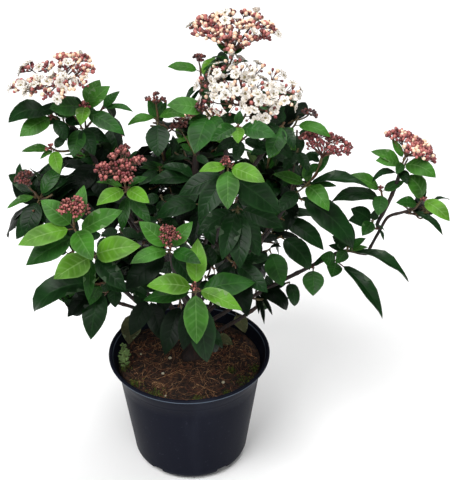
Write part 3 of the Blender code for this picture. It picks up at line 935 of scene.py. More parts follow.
def tube(
    line: Array, radii: Array, sides: int, relief: Array | None = None
) -> tuple[Array, list[Face]]:
    """Builds a closed tube round a line.

    Args:
        line: The middle line's points.
        radii: The radius at each point.
        sides: How many sides the section has.
        relief: Share of the radius added at each point and side.

    Returns:
        The points and the faces.
    """
    tangents = np.gradient(line, axis=0)
    aside = (0.31, 0.17, 0.93) if abs(unit(tangents[0])[2]) < STEEP else (1.0, 0.2, 0.0)
    side = unit(np.cross(tangents[0], aside))
    points = []
    for index, (centre, tangent) in enumerate(zip(line, tangents)):
        tangent = unit(tangent)
        side = unit(side - tangent * (side @ tangent))
        other = np.cross(tangent, side)
        for step in range(sides):
            around = 2 * math.pi * step / sides
            radius = radii[index] * (1 + (relief[index, step] if relief is not None else 0.0))
            points.append(centre + radius * (math.cos(around) * side + math.sin(around) * other))
    faces: list[Face] = []
    for index in range(len(line) - 1):
        for step in range(sides):
            a, b = index * sides + step, index * sides + (step + 1) % sides
            faces.append((a, b, b + sides, a + sides))
    faces.append(tuple(reversed(range(sides))))
    faces.append(tuple(range(len(points) - sides, len(points))))
    return np.array(points), faces


def revolved(profile: Sequence[Pair], sides: int) -> tuple[Array, list[Face]]:
    """Turns a profile round the z axis.

    Args:
        profile: Radius and height of each point, round the solid, its outside on the right.
        sides: How many steps the round has.

    Returns:
        The points and the faces, closed at the poles.
    """
    points: list[Triple] = []
    rings: list[list[int]] = []
    for radius, height in profile:
        count = 1 if radius < 1e-6 else sides
        rings.append(list(range(len(points), len(points) + count)))
        for step in range(count):
            around = 2 * math.pi * step / sides
            points.append((radius * math.cos(around), radius * math.sin(around), height))
    faces: list[Face] = []
    for lower, upper in zip(rings, rings[1:]):
        for step in range(sides):
            a, b = lower[step % len(lower)], lower[(step + 1) % len(lower)]
            c, d = upper[(step + 1) % len(upper)], upper[step % len(upper)]
            face = tuple(dict.fromkeys((a, b, c, d)))
            if len(face) > 2:
                faces.append(face)
    return np.array(points), faces


def lathed(profile: Sequence[Pair], sides: int) -> tuple[Array, list[Face]]:
    """Turns a profile round the y axis, along which a flower's parts stand."""
    points, faces = revolved(profile, sides)
    return points[:, [0, 2, 1]], [face[::-1] for face in faces]


def arc(centre: Pair, radius: float, start: float, end: float, steps: int) -> list[Pair]:
    """Gives the points of an arc in a profile, from one angle to another."""
    angles = [math.radians(start + (end - start) * k / steps) for k in range(steps + 1)]
    return [(centre[0] + radius * math.cos(a), centre[1] + radius * math.sin(a)) for a in angles]


def node_cloud(name: str) -> Array:
    """Gives a CAD node's points, each once, in millimetres.

    Args:
        name: The node's name.

    Returns:
        The points, one row each.
    """
    mesh = frame["nodes"][name].data
    flat = np.zeros(len(mesh.vertices) * 3, np.float32)
    mesh.vertices.foreach_get("co", flat)
    return np.unique(np.round(flat.reshape(-1, 3) / MM, 2), axis=0)


def ripple(x: float, y: float, z: float) -> float:
    """Gives the smooth noise at a place, between about -1 and 1."""
    return noise.noise(Vector((x, y, z)))


@dataclass
class Limb:
    """One length of wood: its middle line, and its radius along it."""

    name: str
    line: Array
    radii: Array

    def lengths(self) -> Array:
        """Gives the distance of each point from the limb's foot."""
        return np.concatenate([[0.0], np.cumsum(np.linalg.norm(np.diff(self.line, axis=0), axis=1))])


@dataclass
class Wood:
    """The trunk and boughs: fitted to the CAD nodes, run on into the foliage, with the bark's relief."""

    sides: int = 14
    step: float = 2.5
    sink: float = 4.0
    run_on_share: float = 0.75
    end_radius: float = 1.05
    thickest: float = 4.0
    slimness: float = 0.68
    radius_range: Pair = (1.0, 1.95)
    station_gap: float = 8.0
    end_margin: float = 2.0
    goal_place: Triple = (0.5, 0.5, 0.62)
    lift: float = 0.4
    onward_gap: float = 6.0
    roundings: int = 6
    collar_gap: float = 23.0
    collar_height: float = 0.2
    flare_lobes: float = 0.22
    ridges: float = 0.13
    pits: float = 0.09
    foliage_of: dict[str, str] = field(default_factory=lambda: {"right_rise": "right_tip"})
    limbs: list[Limb] = field(default_factory=list)

    def fit(self) -> None:
        """Fits every limb to its node."""
        trunk = self.fit_trunk()
        self.limbs = [trunk]
        for name in sorted(n for n in frame["nodes"] if n.startswith("bough_")):
            self.limbs.append(self.fit_bough(name, trunk))

    def fit_trunk(self) -> Limb:
        """Fits the trunk to its level rings of points.

        Returns:
            The trunk.
        """
        cloud = node_cloud("trunk")
        levels = [cloud[np.abs(cloud[:, 2] - z) < 0.6] for z in np.unique(np.round(cloud[:, 2]))]
        rings = [ring for ring in levels if len(ring) >= 6]
        centres = np.array([(ring.min(0) + ring.max(0)) / 2 for ring in rings])
        radii = [np.linalg.norm(r[:, :2] - c[:2], axis=1).mean() for r, c in zip(rings, centres)]
        heights = np.arange(centres[0, 2] - self.sink, centres[-1, 2], self.step)
        bend = [np.polyfit(centres[:, 2], centres[:, k], 5) for k in (0, 1)]
        held = np.clip(heights, centres[0, 2], None)
        line = np.column_stack([np.polyval(bend[0], held), np.polyval(bend[1], held), heights])
        return Limb("trunk", line, np.interp(heights, centres[:, 2], radii))

    def fit_bough(self, name: str, trunk: Limb) -> Limb:
        """Fits one bough and joins it to the wood that bears it and to its mass of foliage.

        Args:
            name: The bough's node.
            trunk: The fitted trunk.

        Returns:
            The bough, from inside the bearing limb to near the middle of its mass.
        """
        cloud = node_cloud(name)
        middle = cloud.mean(axis=0)
        axis = np.linalg.svd(cloud - middle, full_matrices=False)[2][0]
        ends = [middle + axis * s for s in ((cloud - middle) @ axis).min() * np.array([1.0, -1.0])]
        gaps = [np.linalg.norm(trunk.line - end, axis=1).min() for end in ends]
        if gaps[0] > gaps[1]:
            axis = -axis
        along = (cloud - middle) @ axis
        count = max(5, int(np.ptp(along) / self.station_gap))
        stations = np.linspace(along.min() + self.end_margin, along.max() - self.end_margin, count)
        line = np.column_stack([np.polyval(np.polyfit(along, cloud[:, k], 3), stations) for k in range(3)])
        off = np.array([np.linalg.norm(line - p, axis=1).min() for p in cloud])
        taper = np.polyfit(along, np.minimum(off, self.thickest), 1)
        radii = np.clip(np.polyval(taper, stations) * self.slimness, *self.radius_range)
        bearers = [limb for limb in self.limbs if limb.name == "trunk" or name.startswith("bough_right_")]
        wood = np.concatenate([limb.line for limb in bearers])
        root = wood[np.argmin(np.linalg.norm(wood - line[0], axis=1))]
        short = name.removeprefix("bough_")
        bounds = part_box(f"foliage_{self.foliage_of.get(short, short)}")
        low, high = (np.array(corner) / MM for corner in bounds)
        goal = line[-1] + (low + (high - low) * np.array(self.goal_place) - line[-1]) * self.run_on_share
        reach = np.linalg.norm(goal - line[-1])
        leave = unit(line[-1] - line[-2]) * reach
        arrive = (goal - line[-1]) + UP * reach * self.lift
        onward = hermite(line[-1], leave, goal, arrive, max(3, int(reach / self.onward_gap)))[1:]
        line = np.concatenate([[root], line, onward])
        thinning = np.linspace(radii[-1], self.end_radius, len(onward) + 1)[1:]
        radii = np.concatenate([[radii[0]], radii, thinning])
        return self.resampled(Limb(name, line, radii))

    def resampled(self, limb: Limb) -> Limb:
        """Gives the limb points at an even step, rounded off between its old ones.

        Args:
            limb: The limb with its old points.

        Returns:
            The rounded limb.
        """
        lengths = limb.lengths()
        even = np.arange(0, lengths[-1], self.step)
        line = np.column_stack([np.interp(even, lengths, limb.line[:, k]) for k in range(3)])
        for _ in range(self.roundings):
            line[1:-1] = (line[:-2] + 2 * line[1:-1] + line[2:]) / 4
        return Limb(limb.name, line, np.interp(even, lengths, limb.radii))

    def relief(self, limb: Limb, offset: float) -> Array:
        """Works out the bark's relief: ridges, leaf scars in rings, and root lobes at the trunk's foot.

        Args:
            limb: The limb.
            offset: Where in the noise this limb lies.

        Returns:
            Share of the radius added, for each point and side.
        """
        relief = np.zeros((len(limb.line), self.sides))
        for index, run in enumerate(limb.lengths()):
            ring = self.collar_height * math.exp(-(((run + offset) % self.collar_gap - 4) / 1.7) ** 2)
            for side in range(self.sides):
                around = 2 * math.pi * side / self.sides
                right, ahead = math.cos(around), math.sin(around)
                ridge = ripple(right * 1.6, ahead * 1.6, run / 14 + offset)
                rough = ripple(right * 3.1, ahead * 3.1, run / 3.5 - offset)
                relief[index, side] = self.ridges * ridge + self.pits * rough + ring
                if limb.name == "trunk":
                    relief[index, side] += self.flare_lobes * math.sin(3 * around + 1) * math.exp(-run / 9)
        return relief

    def build(self, finish: BarkFinish) -> Object:
        """Makes one mesh of the trunk and every bough.

        Args:
            finish: The bark.

        Returns:
            The finished piece.
        """
        parts = MeshParts()
        for index, limb in enumerate(self.limbs):
            parts.add(*tube(limb.line, limb.radii, self.sides, self.relief(limb, 3.7 * index)))
        piece = add_object("bark_trunk_and_boughs", parts.mesh("bark_trunk_and_boughs", MM))
        piece.data.materials.append(finish.material())
        hand_over(piece, ["trunk", *sorted(n for n in frame["nodes"] if n.startswith("bough_"))])
        return piece


@dataclass
class Skeleton:
    """Finds where each new twig leaves the older wood, and draws its line."""

    clearance: float = 7.0
    backward_cost: float = 0.5
    tip_radius: float = 0.95
    growth: float = 0.008
    tip_room: float = 12.0
    crowding_cost: float = 5.0
    following: float = 0.7
    step: float = 4.5
    leave_pull: float = 0.9
    tip_pull: float = 0.8
    branch_share: float = 0.85
    taper: float = 0.8
    bearing_share: float = 0.8
    points: list[Array] = field(default_factory=list)
    tangents: list[Array] = field(default_factory=list)
    radii: list[float] = field(default_factory=list)

    def take(self, line: Array, radii: Array, share: float = 1.0) -> None:
        """Takes a line in as wood that twigs may leave.

        Args:
            line: Its points.
            radii: Its radius at each.
            share: How much of its length may bear twigs.
        """
        bearing = list(zip(line, np.gradient(line, axis=0), radii))[: int(len(line) * share)]
        for point, tangent, radius in bearing:
            self.points.append(point)
            self.tangents.append(unit(tangent))
            self.radii.append(float(radius))

    def grow(self, tip: Array, aim: Array, straight: float) -> tuple[Array, Array]:
        """Draws a twig from the wood to a shoot's tip.

        Args:
            tip: The shoot's tip.
            aim: The direction it grows in there.
            straight: Length of the leafy part that follows the aim.

        Returns:
            The twig's points and radii.
        """
        wood = np.array(self.points)
        base = tip - aim * straight
        away = base - wood
        reach = np.linalg.norm(away, axis=1)
        heading = (away * np.array(self.tangents)).sum(axis=1) / np.maximum(reach, 1e-6)
        cost = np.maximum(reach, self.clearance) * (1 + self.backward_cost * (1 - heading))
        cost += np.maximum(0, self.tip_room - np.linalg.norm(tip - wood, axis=1)) * self.crowding_cost
        pick = int(np.argmin(cost))
        start, span = wood[pick], max(float(reach[pick]), 4.0)
        leave = unit(self.tangents[pick] * self.following + away[pick] / span)
        whole = span + straight
        count = max(5, int(whole / self.step))
        line = hermite(start, leave * whole * self.leave_pull, tip, aim * whole * self.tip_pull, count)
        shares = np.linspace(0, 1, len(line))
        thick = min(self.radii[pick] * self.branch_share, self.tip_radius + self.growth * whole)
        radii = self.tip_radius + (thick - self.tip_radius) * (1 - shares) ** self.taper
        self.take(line, radii, self.bearing_share)
        return line, radii


class Bend(Enum):
    """How much a leaf arches between its foot and its tip."""

    FLAT = 0
    SOFT = 1
    ARCHED = 2
    HOOKED = 3


FLAT, SOFT, ARCHED, HOOKED = Bend


@dataclass(frozen=True)
class Leaf:
    """A leaf that the photograph shows: its reach in the photograph's axes, its tint and its shape."""

    reach: Triple
    tint: Tint
    wide: float = 1.0
    facing: float = 0.5
    below: float = 0.0
    bend: Bend = SOFT


@dataclass(frozen=True)
class Shoot:
    """One leafy shoot: where its tip stands and points, the leaves that show on it, and those dealt below."""

    name: str
    tip: Triple
    aim: Triple
    leaves: tuple[Leaf, ...] = ()
    bare: float = 2.0
    pairs: int = 1
    size: float = 50.0
    tint: Tint = DARK
    straight: float = 18.0


@dataclass(frozen=True)
class SkyGap:
    """An opening in the crown, as it shows in the photograph: the pixel of its middle and its half sizes."""

    across: float
    down: float
    half_width: float
    half_height: float

    def holds(self, point: Array) -> bool:
        """Tells whether a point shows inside the opening.

        Args:
            point: The point, in the model's frame.

        Returns:
            True if it does.
        """
        across, down = PICTURE.pixel(point)
        aside, off = (across - self.across) / self.half_width, (down - self.down) / self.half_height
        return aside**2 + off**2 < 1


class Crown:
    """The space that the CAD masses of foliage fill."""

    def __init__(self) -> None:
        """Reads every mass."""
        self.names = sorted(n for n in frame["nodes"] if n.startswith("foliage_"))
        self.trees: dict[str, BVHTree] = {}
        self.middles: dict[str, Array] = {}
        self.sizes: dict[str, Array] = {}
        for name in self.names:
            mesh = frame["nodes"][name].data
            points = [tuple(np.array(v.co) / MM) for v in mesh.vertices]
            self.trees[name] = BVHTree.FromPolygons(points, [tuple(p.vertices) for p in mesh.polygons])
            cloud = np.array(points)
            self.middles[name] = (cloud.min(axis=0) + cloud.max(axis=0)) / 2
            self.sizes[name] = np.ptp(cloud, axis=0) / 2

    def outside(self, point: Array) -> float:
        """Gives how far a point is outside the nearest mass, or less than nothing inside one.

        Args:
            point: The point, in the model's frame.

        Returns:
            The distance, below nothing inside a mass.
        """
        least = math.inf
        for tree in self.trees.values():
            near, normal, _, far = tree.find_nearest(Vector(point))
            least = min(least, far if (Vector(point) - near).dot(normal) > 0 else -far)
        return least

    def surface(self, name: str, direction: Array) -> float:
        """Gives how far a mass reaches from its middle in a direction."""
        hit = self.trees[name].ray_cast(Vector(self.middles[name]), Vector(direction))
        return float(hit[3]) if hit[0] is not None else float(self.sizes[name].min())


def shoot(name: str, tip: Triple, aim: Triple, *rows: tuple[object, ...], **options: object) -> Shoot:
    """Writes down a shoot, with one row of plain values for each leaf.

    Args:
        name: Which part of the crown it belongs to.
        tip: Where its tip stands.
        aim: Where it points.
        rows: For each leaf its reach, tint, width, facing, distance below the tip and bend.
        options: The shoot's other sizes.

    Returns:
        The shoot.
    """
    return Shoot(name, tip, aim, tuple(Leaf(row[:3], *row[3:]) for row in rows), **options)


def closing_spray(tip: Triple) -> Shoot:
    """Gives a small shoot that stands behind the shown ones and closes a slit between them with dark leaves
    and leaves in painted shade.
    """
    rows = ((-18, -6, 3, DARK, 1.3, 0.7), (18, -6, 3, DARK, 1.3, 0.7), (1, -22, 3, DARK, 1.4, 0.8))
    return shoot("closing_spray", tip, (0.0, 0.6, 0.8), *rows, size=34, tint=DEEP)


SHOWN_SHOOTS = (
    shoot("front", (12, -128, 298), (0.05, 0.25, 1.0),
        (2, 45, -6, YOUNG, 1.05, 0.9, 0, FLAT), (1, -50, -4, FRESH, 1.1, 0.9),
        (-43, 3, 10, YOUNG, 1.1, 0.5, 0, ARCHED), (42, -19, 8, YOUNG), (54, 8, -10, MID, 1, 0.5, 8),
        (-48, -8, -8, MID, 0.9, 0.5, 8), (10, -64, -16, DARK, 0.9, 0.8, 12),
        (-12, -52, -6, DEEP, 0.9, 0.8, 12)),
    shoot("mid_front", (-10, -112, 334), (0.0, 0.7, 0.7),
        (-28, 24, 4, FRESH, 1.2, 0.8, 4), (20, 24, 4, FRESH, 1.1, 0.8, 4),
        (-34, -12, 22, FRESH, 0.9, 0.4, 6), (28, -12, 20, MID, 1, 0.6, 6),
        (-40, -34, 0, DEEP, 1.1, 0.6, 12), (-30, -18, 2, DARK, 1, 0.5, 16), (22, -30, 0, DARK, 1, 0.6, 12)),
    shoot("left_front_a", (-96, -104, 349), (-0.1, 0.8, 0.5),
        (8, 38, -8, FRESH, 1, 0.9, 0, FLAT), (-29, 24, 4, FRESH, 1.2, 0.8),
        (-48, -15, 14, YOUNG, 0.95, 0.6), (20, -28, 30, FRESH, 1.15, 0.8), (42, 20, 8, FRESH, 1.1, 0.8, 6),
        (-45, -28, 8, MID, 1.15, 0.65, 8)),
    shoot("left_front_b", (-80, -112, 322), (0.1, 0.1, 1.0),
        (45, 9, 20, YOUNG, 1.1, 0.7, 0, ARCHED), (-31, -20, 28, YOUNG, 1.3, 0.75),
        (31, -31, 10, DARK, 1.1, 0.7), (24, -24, -2, MID, 0.9, 0.6, 8), (-3, -42, 4, MID, 0.8, 0.7, 8)),
    shoot("left_low", (-82, -70, 262), (-0.2, -0.2, 0.9),
        (-60, -26, 8, DARK, 1.05, 0.35, -2, HOOKED), (-29, -31, 10, DEEP, 1.2, 0.6),
        (-8, -53, 8, DARK, 1.05, 0.8), (-8, -20, 18, MID, 1.1, 0.7), (26, -8, -6, DARK, 0.9, 0.6), pairs=0),
    shoot("left_tip", (-139, -40, 345), (-0.4, 0.8, 0.4),
        (-27, -12, 8, FRESH, 0.85, 0.4, 2), (-13, -36, 6, DARK, 1.2, 0.7, 6),
        (29, 19, -4, DARK, 0.8, 0.6, 4), (22, 34, -8, MID, 0.85, 0.7, 4), pairs=0),
    shoot("left_top_a", (-121, -14, 413), (-0.4, 0.6, 0.6),
        (-39, -8, 8, DARK, 1.3, 0.35, -7, HOOKED), (-29, -20, 14, FRESH, 1.2, 0.7),
        (12, -22, 4, DARK, 1.2, 0.7), (24, 8, -4, MID, 1.2, 0.5), (7, 21, 2, DARK, 1.1, 0.6), pairs=0),
    shoot("left_top_b", (-122, -28, 386), (-0.5, 0.5, 0.6),
        (-28, -3, 8, FRESH, 0.9, 0.6), (8, -24, 14, YOUNG, 1.2, 0.8), (10, 14, -4, DARK, 1.2, 0.7),
        (-12, -9, 6, FRESH, 1, 0.5), pairs=0),
    shoot("left_top_c", (-89, -20, 428), (0.0, 0.9, 0.5),
        (-2, -20, 16, YOUNG, 1.4, 0.9), (-31, -3, 12, MID, 1.5, 0.7, 2), (-19, 9, 6, DARK, 1.4, 0.6, 2),
        (13, 25, -4, FRESH, 1.4, 0.7), (24, 21, 4, FRESH, 1.4, 0.8, 2), (38, -22, 8, MID, 0.9, 0.7, 4)),
    shoot("left_top_d", (-76, 5, 411), (0.5, 0.8, 0.0),
        (30, -3, 4, MID, 0.8, 0.3, 0, ARCHED), (17, 17, 0, MID, 1, 0.5), (26, -22, 8, DARK, 1, 0.6, 4)),
    shoot("left_dark_a", (-97, -5, 398), (-0.2, 0.5, 0.6),
        (-6, -30, 12, MID, 1.4, 0.8), (14, -28, 10, DARK, 1.2, 0.8), (-22, -12, 4, DEEP, 1.2, 0.6),
        (26, -14, 0, DARK, 1, 0.6)),
    shoot("left_dark_b", (-87, 10, 352), (-0.1, 0.6, 0.7),
        (-20, -32, 12, DEEP, 1.3, 0.8), (6, -38, 8, DEEP, 1.1, 0.8), (24, -18, 4, DEEP, 1.1, 0.6), pairs=0),
    shoot("left_centre", (-52, -70, 373), (-0.1, 0.9, 0.4),
        (-24, -16, 22, YOUNG, 1.2, 0.7, 4), (23, -14, 22, YOUNG, 1.1, 0.7, 4),
        (-26, 5, 4, FRESH, 0.8, 0.3, 2), (20, 10, -4, MID, 1, 0.5, 2), (22, -28, 8, MID, 0.9, 0.7, 8),
        (-4, -36, 10, MID, 0.8, 0.8, 8)),
    shoot("mid_left", (-26, 18, 398), (0.0, 1.0, 0.1),
        (-28, -8, 8, FRESH, 0.95, 0.4, 2, ARCHED), (27, 0, 8, FRESH, 1, 0.4, 2, ARCHED),
        (-9, 21, 4, MID, 0.9, 0.9, 4, FLAT), (9, 19, 4, MID, 0.9, 0.9, 4, FLAT),
        (1, -35, 9, DARK, 1.6, 0.9, 2), pairs=0),
    shoot("mid_left_low", (-26, 20, 340), (0.0, 0.9, 0.3),
        (33, 7, 4, DARK, 0.8, 0.2, 0, ARCHED), (-21, 6, 4, DARK, 0.8, 0.3), (28, -8, 10, DARK, 1, 0.5),
        (-20, -16, 10, DARK, 1, 0.5)),
    shoot("small_head", (2, 18, 369), (-0.4, 0.9, 0.2),
        (6, 20, 0, DARK, 1.3, 0.7, 10), (-13, 6, 6, MID, 1.2, 0.6, 10), (14, -10, 8, DARK, 1.1, 0.6, 14)),
    shoot("top_side", (15, 21, 446), (-0.1, 1.0, 0.0),
        (-31, 4, 2, FRESH, 1, 0.4, 3), (20, 9, 0, MID, 0.7, 0.2, 4), (-16, -22, 4, DARK, 0.6, 0.3, 12),
        (-12, -19, 4, DARK, 0.5, 0.3, 18), (8, -24, 8, DARK, 0.9, 0.5, 12), pairs=0),
    shoot("top", (45, 31, 452), (0.0, 1.0, 0.1),
        (-18, 4, 2, MID, 0.8, 0.2, 4), (18, 2, 2, MID, 0.8, 0.2, 6), (-15, 11, 2, MID, 1.1, 0.5, -4),
        (13, 11, 2, MID, 1.1, 0.5, -4), (-12, -12, 10, MID, 0.9, 0.4, 8), size=26),
    shoot("upper_a", (20, -46, 436), (-0.4, 0.7, 0.5),
        (-35, 4, 12, FRESH, 1.25, 0.5, 2), (-12, -37, 22, MID, 1.35, 0.9, 6),
        (14, -16, 12, MID, 1.1, 0.8, 6), (-20, -8, 10, MID, 1.2, 0.6, 8)),
    shoot("upper_b", (50, -62, 428), (0.0, 0.6, 0.8),
        (0, -17, 16, YOUNG, 1.3, 0.9), (-24, -15, 16, MID, 1.3, 0.7), (34, -10, 12, MID, 1.1, 0.7),
        (2, 14, 4, MID, 1.3, 0.7)),
    shoot("upper_c", (92, -42, 420), (0.3, 0.7, 0.4),
        (-6, 14, 4, DARK, 1.4, 0.7), (-14, -32, 10, MID, 1.2, 0.8), (-30, -14, 10, DARK, 1.1, 0.6),
        (10, -22, 8, DARK, 1.2, 0.7)),
    shoot("centre", (41, -92, 404), (0.0, 0.5, 0.9),
        (-25, -6, 16, YOUNG, 1, 0.5), (32, -15, 16, YOUNG, 1.15, 0.6), (0, -38, 20, FRESH, 1.15, 0.9),
        (-26, -43, 2, DARK, 1, 0.8, 6), (46, -36, -2, DARK, 1.1, 0.7, 8), (-44, -20, -2, DARK, 1, 0.7, 8)),
    shoot("right_upper", (105, -12, 407), (0.3, 0.9, 0.2),
        (33, -12, 8, FRESH, 1, 0.5, 4, ARCHED), (-26, -24, 6, MID, 1.3, 0.8, 6),
        (-11, -15, 10, FRESH, 1, 0.6, 4), pairs=0),
    shoot("right_mid", (127, -23, 366), (0.25, 0.8, 0.4),
        (-33, 9, 8, FRESH, 1, 0.6), (0, 21, 2, FRESH, 1.2, 0.9, 0, FLAT),
        (20, -25, 20, FRESH, 1.05, 0.8, 0, ARCHED), (30, 0, 8, MID, 0.8, 0.3, 2),
        (15, 21, 2, MID, 0.8, 0.9, -14, FLAT), (61, -1, 10, DARK, 0.66, 0.35, 2, ARCHED),
        (-20, -20, 12, DARK, 1.1, 0.7, 6), bare=24, straight=34),
    shoot("right_mid_back", (112, 12, 352), (0.1, 0.8, 0.2),
        (-30, 4, 6, DARK, 1.2, 0.6), (20, 8, 4, DARK, 1.1, 0.6), (-18, -24, 10, DARK, 1.2, 0.7)),
    shoot("left_head", (-106, -12, 428), (-0.1, 1.0, 0.1),
        (-32, -10, 4, DARK, 1, 0.5), (27, -8, 2, MID, 1, 0.5), bare=6),
    shoot("white_head", (58, -20, 421), (0.1, 0.9, 0.3),
        (34, -8, 10, DARK, 1.1, 0.5), (-30, -12, 10, DARK, 1.1, 0.5), bare=6),
    shoot("back_head", (14, 122, 322), (0.0, 0.9, -0.3),
        (34, -6, -16, FRESH, 1.1, 0.1), (-34, -4, -16, FRESH, 1.1, 0.1), (8, 4, -40, YOUNG, 1.1, 0),
        (-6, 2, 28, MID, 1, 0), bare=6, pairs=2, tint=MID),
    shoot("right_fork", (189, -4, 327), (-0.1, 0.9, 0.4),
        (-34, 15, 6, FRESH, 1, 0.45, 0, ARCHED), (22, 10, 2, MID, 1.1, 0.5), (-5, -22, 14, MID, 1.5, 0.8),
        (-51, -2, 4, DARK, 0.85, 0.35, 8, ARCHED), pairs=0, size=32),
    shoot("right_tip", (209, -1, 359), (0.3, 0.9, 0.2),
        (-31, 11, 4, FRESH, 1.15, 0.6, 2), (-27, 2, 8, FRESH, 1.1, 0.6, 2),
        (30, -13, 14, FRESH, 1.2, 0.6, 2, ARCHED), (-12, 20, 2, FRESH, 0.9, 0.8, -4, FLAT),
        (4, -16, 12, DARK, 1.3, 0.8, 4), (-8, -12, 12, MID, 1.3, 0.8, -2),
        (-26, -8, 4, DARK, 0.8, 0.1, 10, HOOKED), pairs=0, size=30),
    shoot("right_end", (228, -14, 324), (0.5, 0.8, 0.3),
        (25, -21, 12, YOUNG, 1.15, 0.7, 0, ARCHED), (-17, 22, 4, FRESH, 1.2, 0.6, 0, HOOKED),
        (-23, 1, 8, MID, 1.4, 0.7, 4), (31, -25, 4, DARK, 0.6, 0.3, 50, ARCHED), pairs=0, size=30),
    shoot("right_arm_up", (183, -8, 297), (0.2, 0.9, 0.3),
        (-25, 0, 8, DARK, 1.5, 0.7), (-12, -15, 12, MID, 1.7, 0.8), (-22, 13, 4, DARK, 1.5, 0.7),
        (3, 13, 6, DARK, 1.5, 0.7), (12, -8, 4, DARK, 0.5, 0.1), (4, -12, 4, DARK, 0.7, 0.2, 14, ARCHED),
        pairs=0),
    shoot("right_arm", (160, -10, 266), (0.3, 0.8, 0.4),
        (61, -31, 10, DARK, 0.55, 0.3, 4, ARCHED), (-16, 12, 8, DARK, 1.7, 0.8),
        (-12, -14, 14, MID, 1.3, 0.8), (18, 11, 6, MID, 1, 0.5), (21, 3, 4, FRESH, 0.8, 0.5),
        (4, 27, 4, DARK, 1.3, 0.8), (-18, 6, 8, DARK, 1.2, 0.7), pairs=0),
    shoot("right_arm_low", (150, -12, 250), (0.2, 0.3, 0.9),
        (44, -57, 10, DARK, 0.58, 0.4, 0, ARCHED), (-18, 5, 14, MID, 1.75, 0.9),
        (-6, -16, 14, MID, 1.75, 0.9), pairs=0, straight=8),
    shoot("right_drape", (127, -8, 239), (0.2, -0.2, 0.9),
        (-1, -28, 12, MID, 1.75, 0.9), (14, 14, 8, DARK, 0.6, 0.2), pairs=0, straight=8),
    shoot("right_inner_a", (108, -15, 327), (0.3, 0.5, 0.6),
        (53, -49, 8, DARK, 0.8, 0.5, 0, ARCHED), (30, -18, 6, DARK, 0.5, 0.1, 0, ARCHED),
        (-26, -16, 10, DARK, 1.1, 0.6), (-10, -32, 12, DEEP, 1, 0.6)),
    shoot("right_inner_b", (92, -5, 298), (0.3, 0.5, 0.6),
        (43, -32, 8, DARK, 0.95, 0.5, 0, ARCHED), (-26, -12, 10, DEEP, 1, 0.6),
        (42, -1, 6, DARK, 0.55, 0.2, 0, ARCHED), (6, 14, 4, DARK, 1.2, 0.6), pairs=0),
    shoot("right_inner_c", (94, 0, 272), (0.4, 0.4, 0.6),
        (29, -33, 6, DARK, 1.15, 0.5, 0, ARCHED), (-24, -4, 8, DEEP, 1, 0.6), pairs=0),
    shoot("right_inner_d", (83, 0, 257), (0.2, 0.3, 0.7),
        (13, -37, 8, MID, 1.45, 0.8), (12, 2, 6, DEEP, 0.8, 0.3, 0, HOOKED), (-20, -22, 8, DEEP, 1, 0.7),
        pairs=0),
    shoot("right_low", (72, 10, 202), (0.4, 0.2, 0.7),
        (30, -22, 4, DEEP, 0.9, 0.5, 0, HOOKED), (26, -18, 0, DEEP, 0.55, 0.2),
        (16, -27, 4, DEEP, 0.4, 0.2), (2, -26, 0, DEEP, 0.4, 0.3), (8, -36, 2, DEEP, 0.4, 0.3), pairs=0),
    shoot("centre_low", (50, -76, 352), (0.1, 0.4, 0.9),
        (2, -56, 12, DARK, 1, 0.9), (-14, -48, 12, DARK, 1, 0.9), (20, -44, 4, DARK, 1, 0.8),
        (42, -18, 0, DARK, 1.1, 0.6), (-36, -24, 4, DARK, 1.1, 0.6)),
    shoot("front_right", (48, -88, 300), (0.3, 0.3, 0.8),
        (30, -28, 10, DARK, 1.1, 0.7), (-18, -36, 8, DEEP, 1.1, 0.7), (12, -50, 8, DEEP, 1, 0.8),
        (34, 4, 4, DARK, 1.1, 0.6)),
    shoot("core_a", (10, -20, 349), (-0.2, 0.7, 0.6),
        (-44, -4, 8, DARK, 1, 0.4, 0, ARCHED), (-32, 12, 4, DARK, 0.9, 0.3, 0, ARCHED),
        (22, -14, 10, DARK, 1, 0.6), (-12, -32, 16, DARK, 1, 0.8)),
    shoot("core_b", (15, -40, 334), (-0.2, 0.6, 0.7),
        (-42, -14, 10, DARK, 1, 0.5, 0, ARCHED), (-34, 4, 4, DARK, 1, 0.4), (12, -38, 12, DARK, 1, 0.8),
        (-8, -40, 10, DEEP, 1, 0.8)),
    shoot("low_centre", (-35, -60, 240), (-0.2, 0.2, 0.9),
        (-18, -36, 10, DEEP, 1, 0.8), (14, -42, 10, DEEP, 1, 0.8), (-24, 12, 4, DARK, 1.1, 0.6), pairs=0),
    shoot("behind_front", (28, -62, 275), (0.1, 0.4, 0.9),
        (-28, 6, 2, DEEP, 1.1, 0.7), (27, -2, 2, DEEP, 1.1, 0.7), (4, -38, 4, DEEP, 1.1, 0.8),
        (-8, 24, -2, DARK, 1.2, 0.7), tint=DEEP),
    shoot("behind_left_front", (-15, -52, 250), (-0.1, 0.4, 0.9),
        (-30, 8, 2, DEEP, 1.1, 0.7), (24, 8, 2, DEEP, 1.1, 0.7), (-12, -30, 4, DEEP, 1.1, 0.8), tint=DEEP),
    shoot("behind_mid", (-9, -25, 318), (-0.1, 0.6, 0.8),
        (-22, -8, 4, DARK, 1.2, 0.7), (22, -10, 4, DEEP, 1.2, 0.7), (2, -28, 4, DEEP, 1.2, 0.8), tint=DEEP),
    shoot("behind_low_right", (74, -28, 268), (0.3, 0.5, 0.8),
        (-6, 18, 4, DEEP, 1, 0.7), (-20, -20, 4, DEEP, 1.1, 0.7), pairs=0),
    shoot("slit_a", (86, -25, 393), (0.2, 0.7, 0.6),
        (-6, -16, 8, FRESH, 1.6, 0.8), (14, -16, 6, DARK, 1.4, 0.8), (-24, -12, 2, DARK, 1, 0.7), size=36),
    shoot("slit_b", (107, -12, 377), (0.3, 0.7, 0.5),
        (-14, -20, 8, DARK, 1.4, 0.8), (10, -20, 6, DARK, 1.2, 0.8), (-12, 10, 4, FRESH, 1.1, 0.7), size=36),
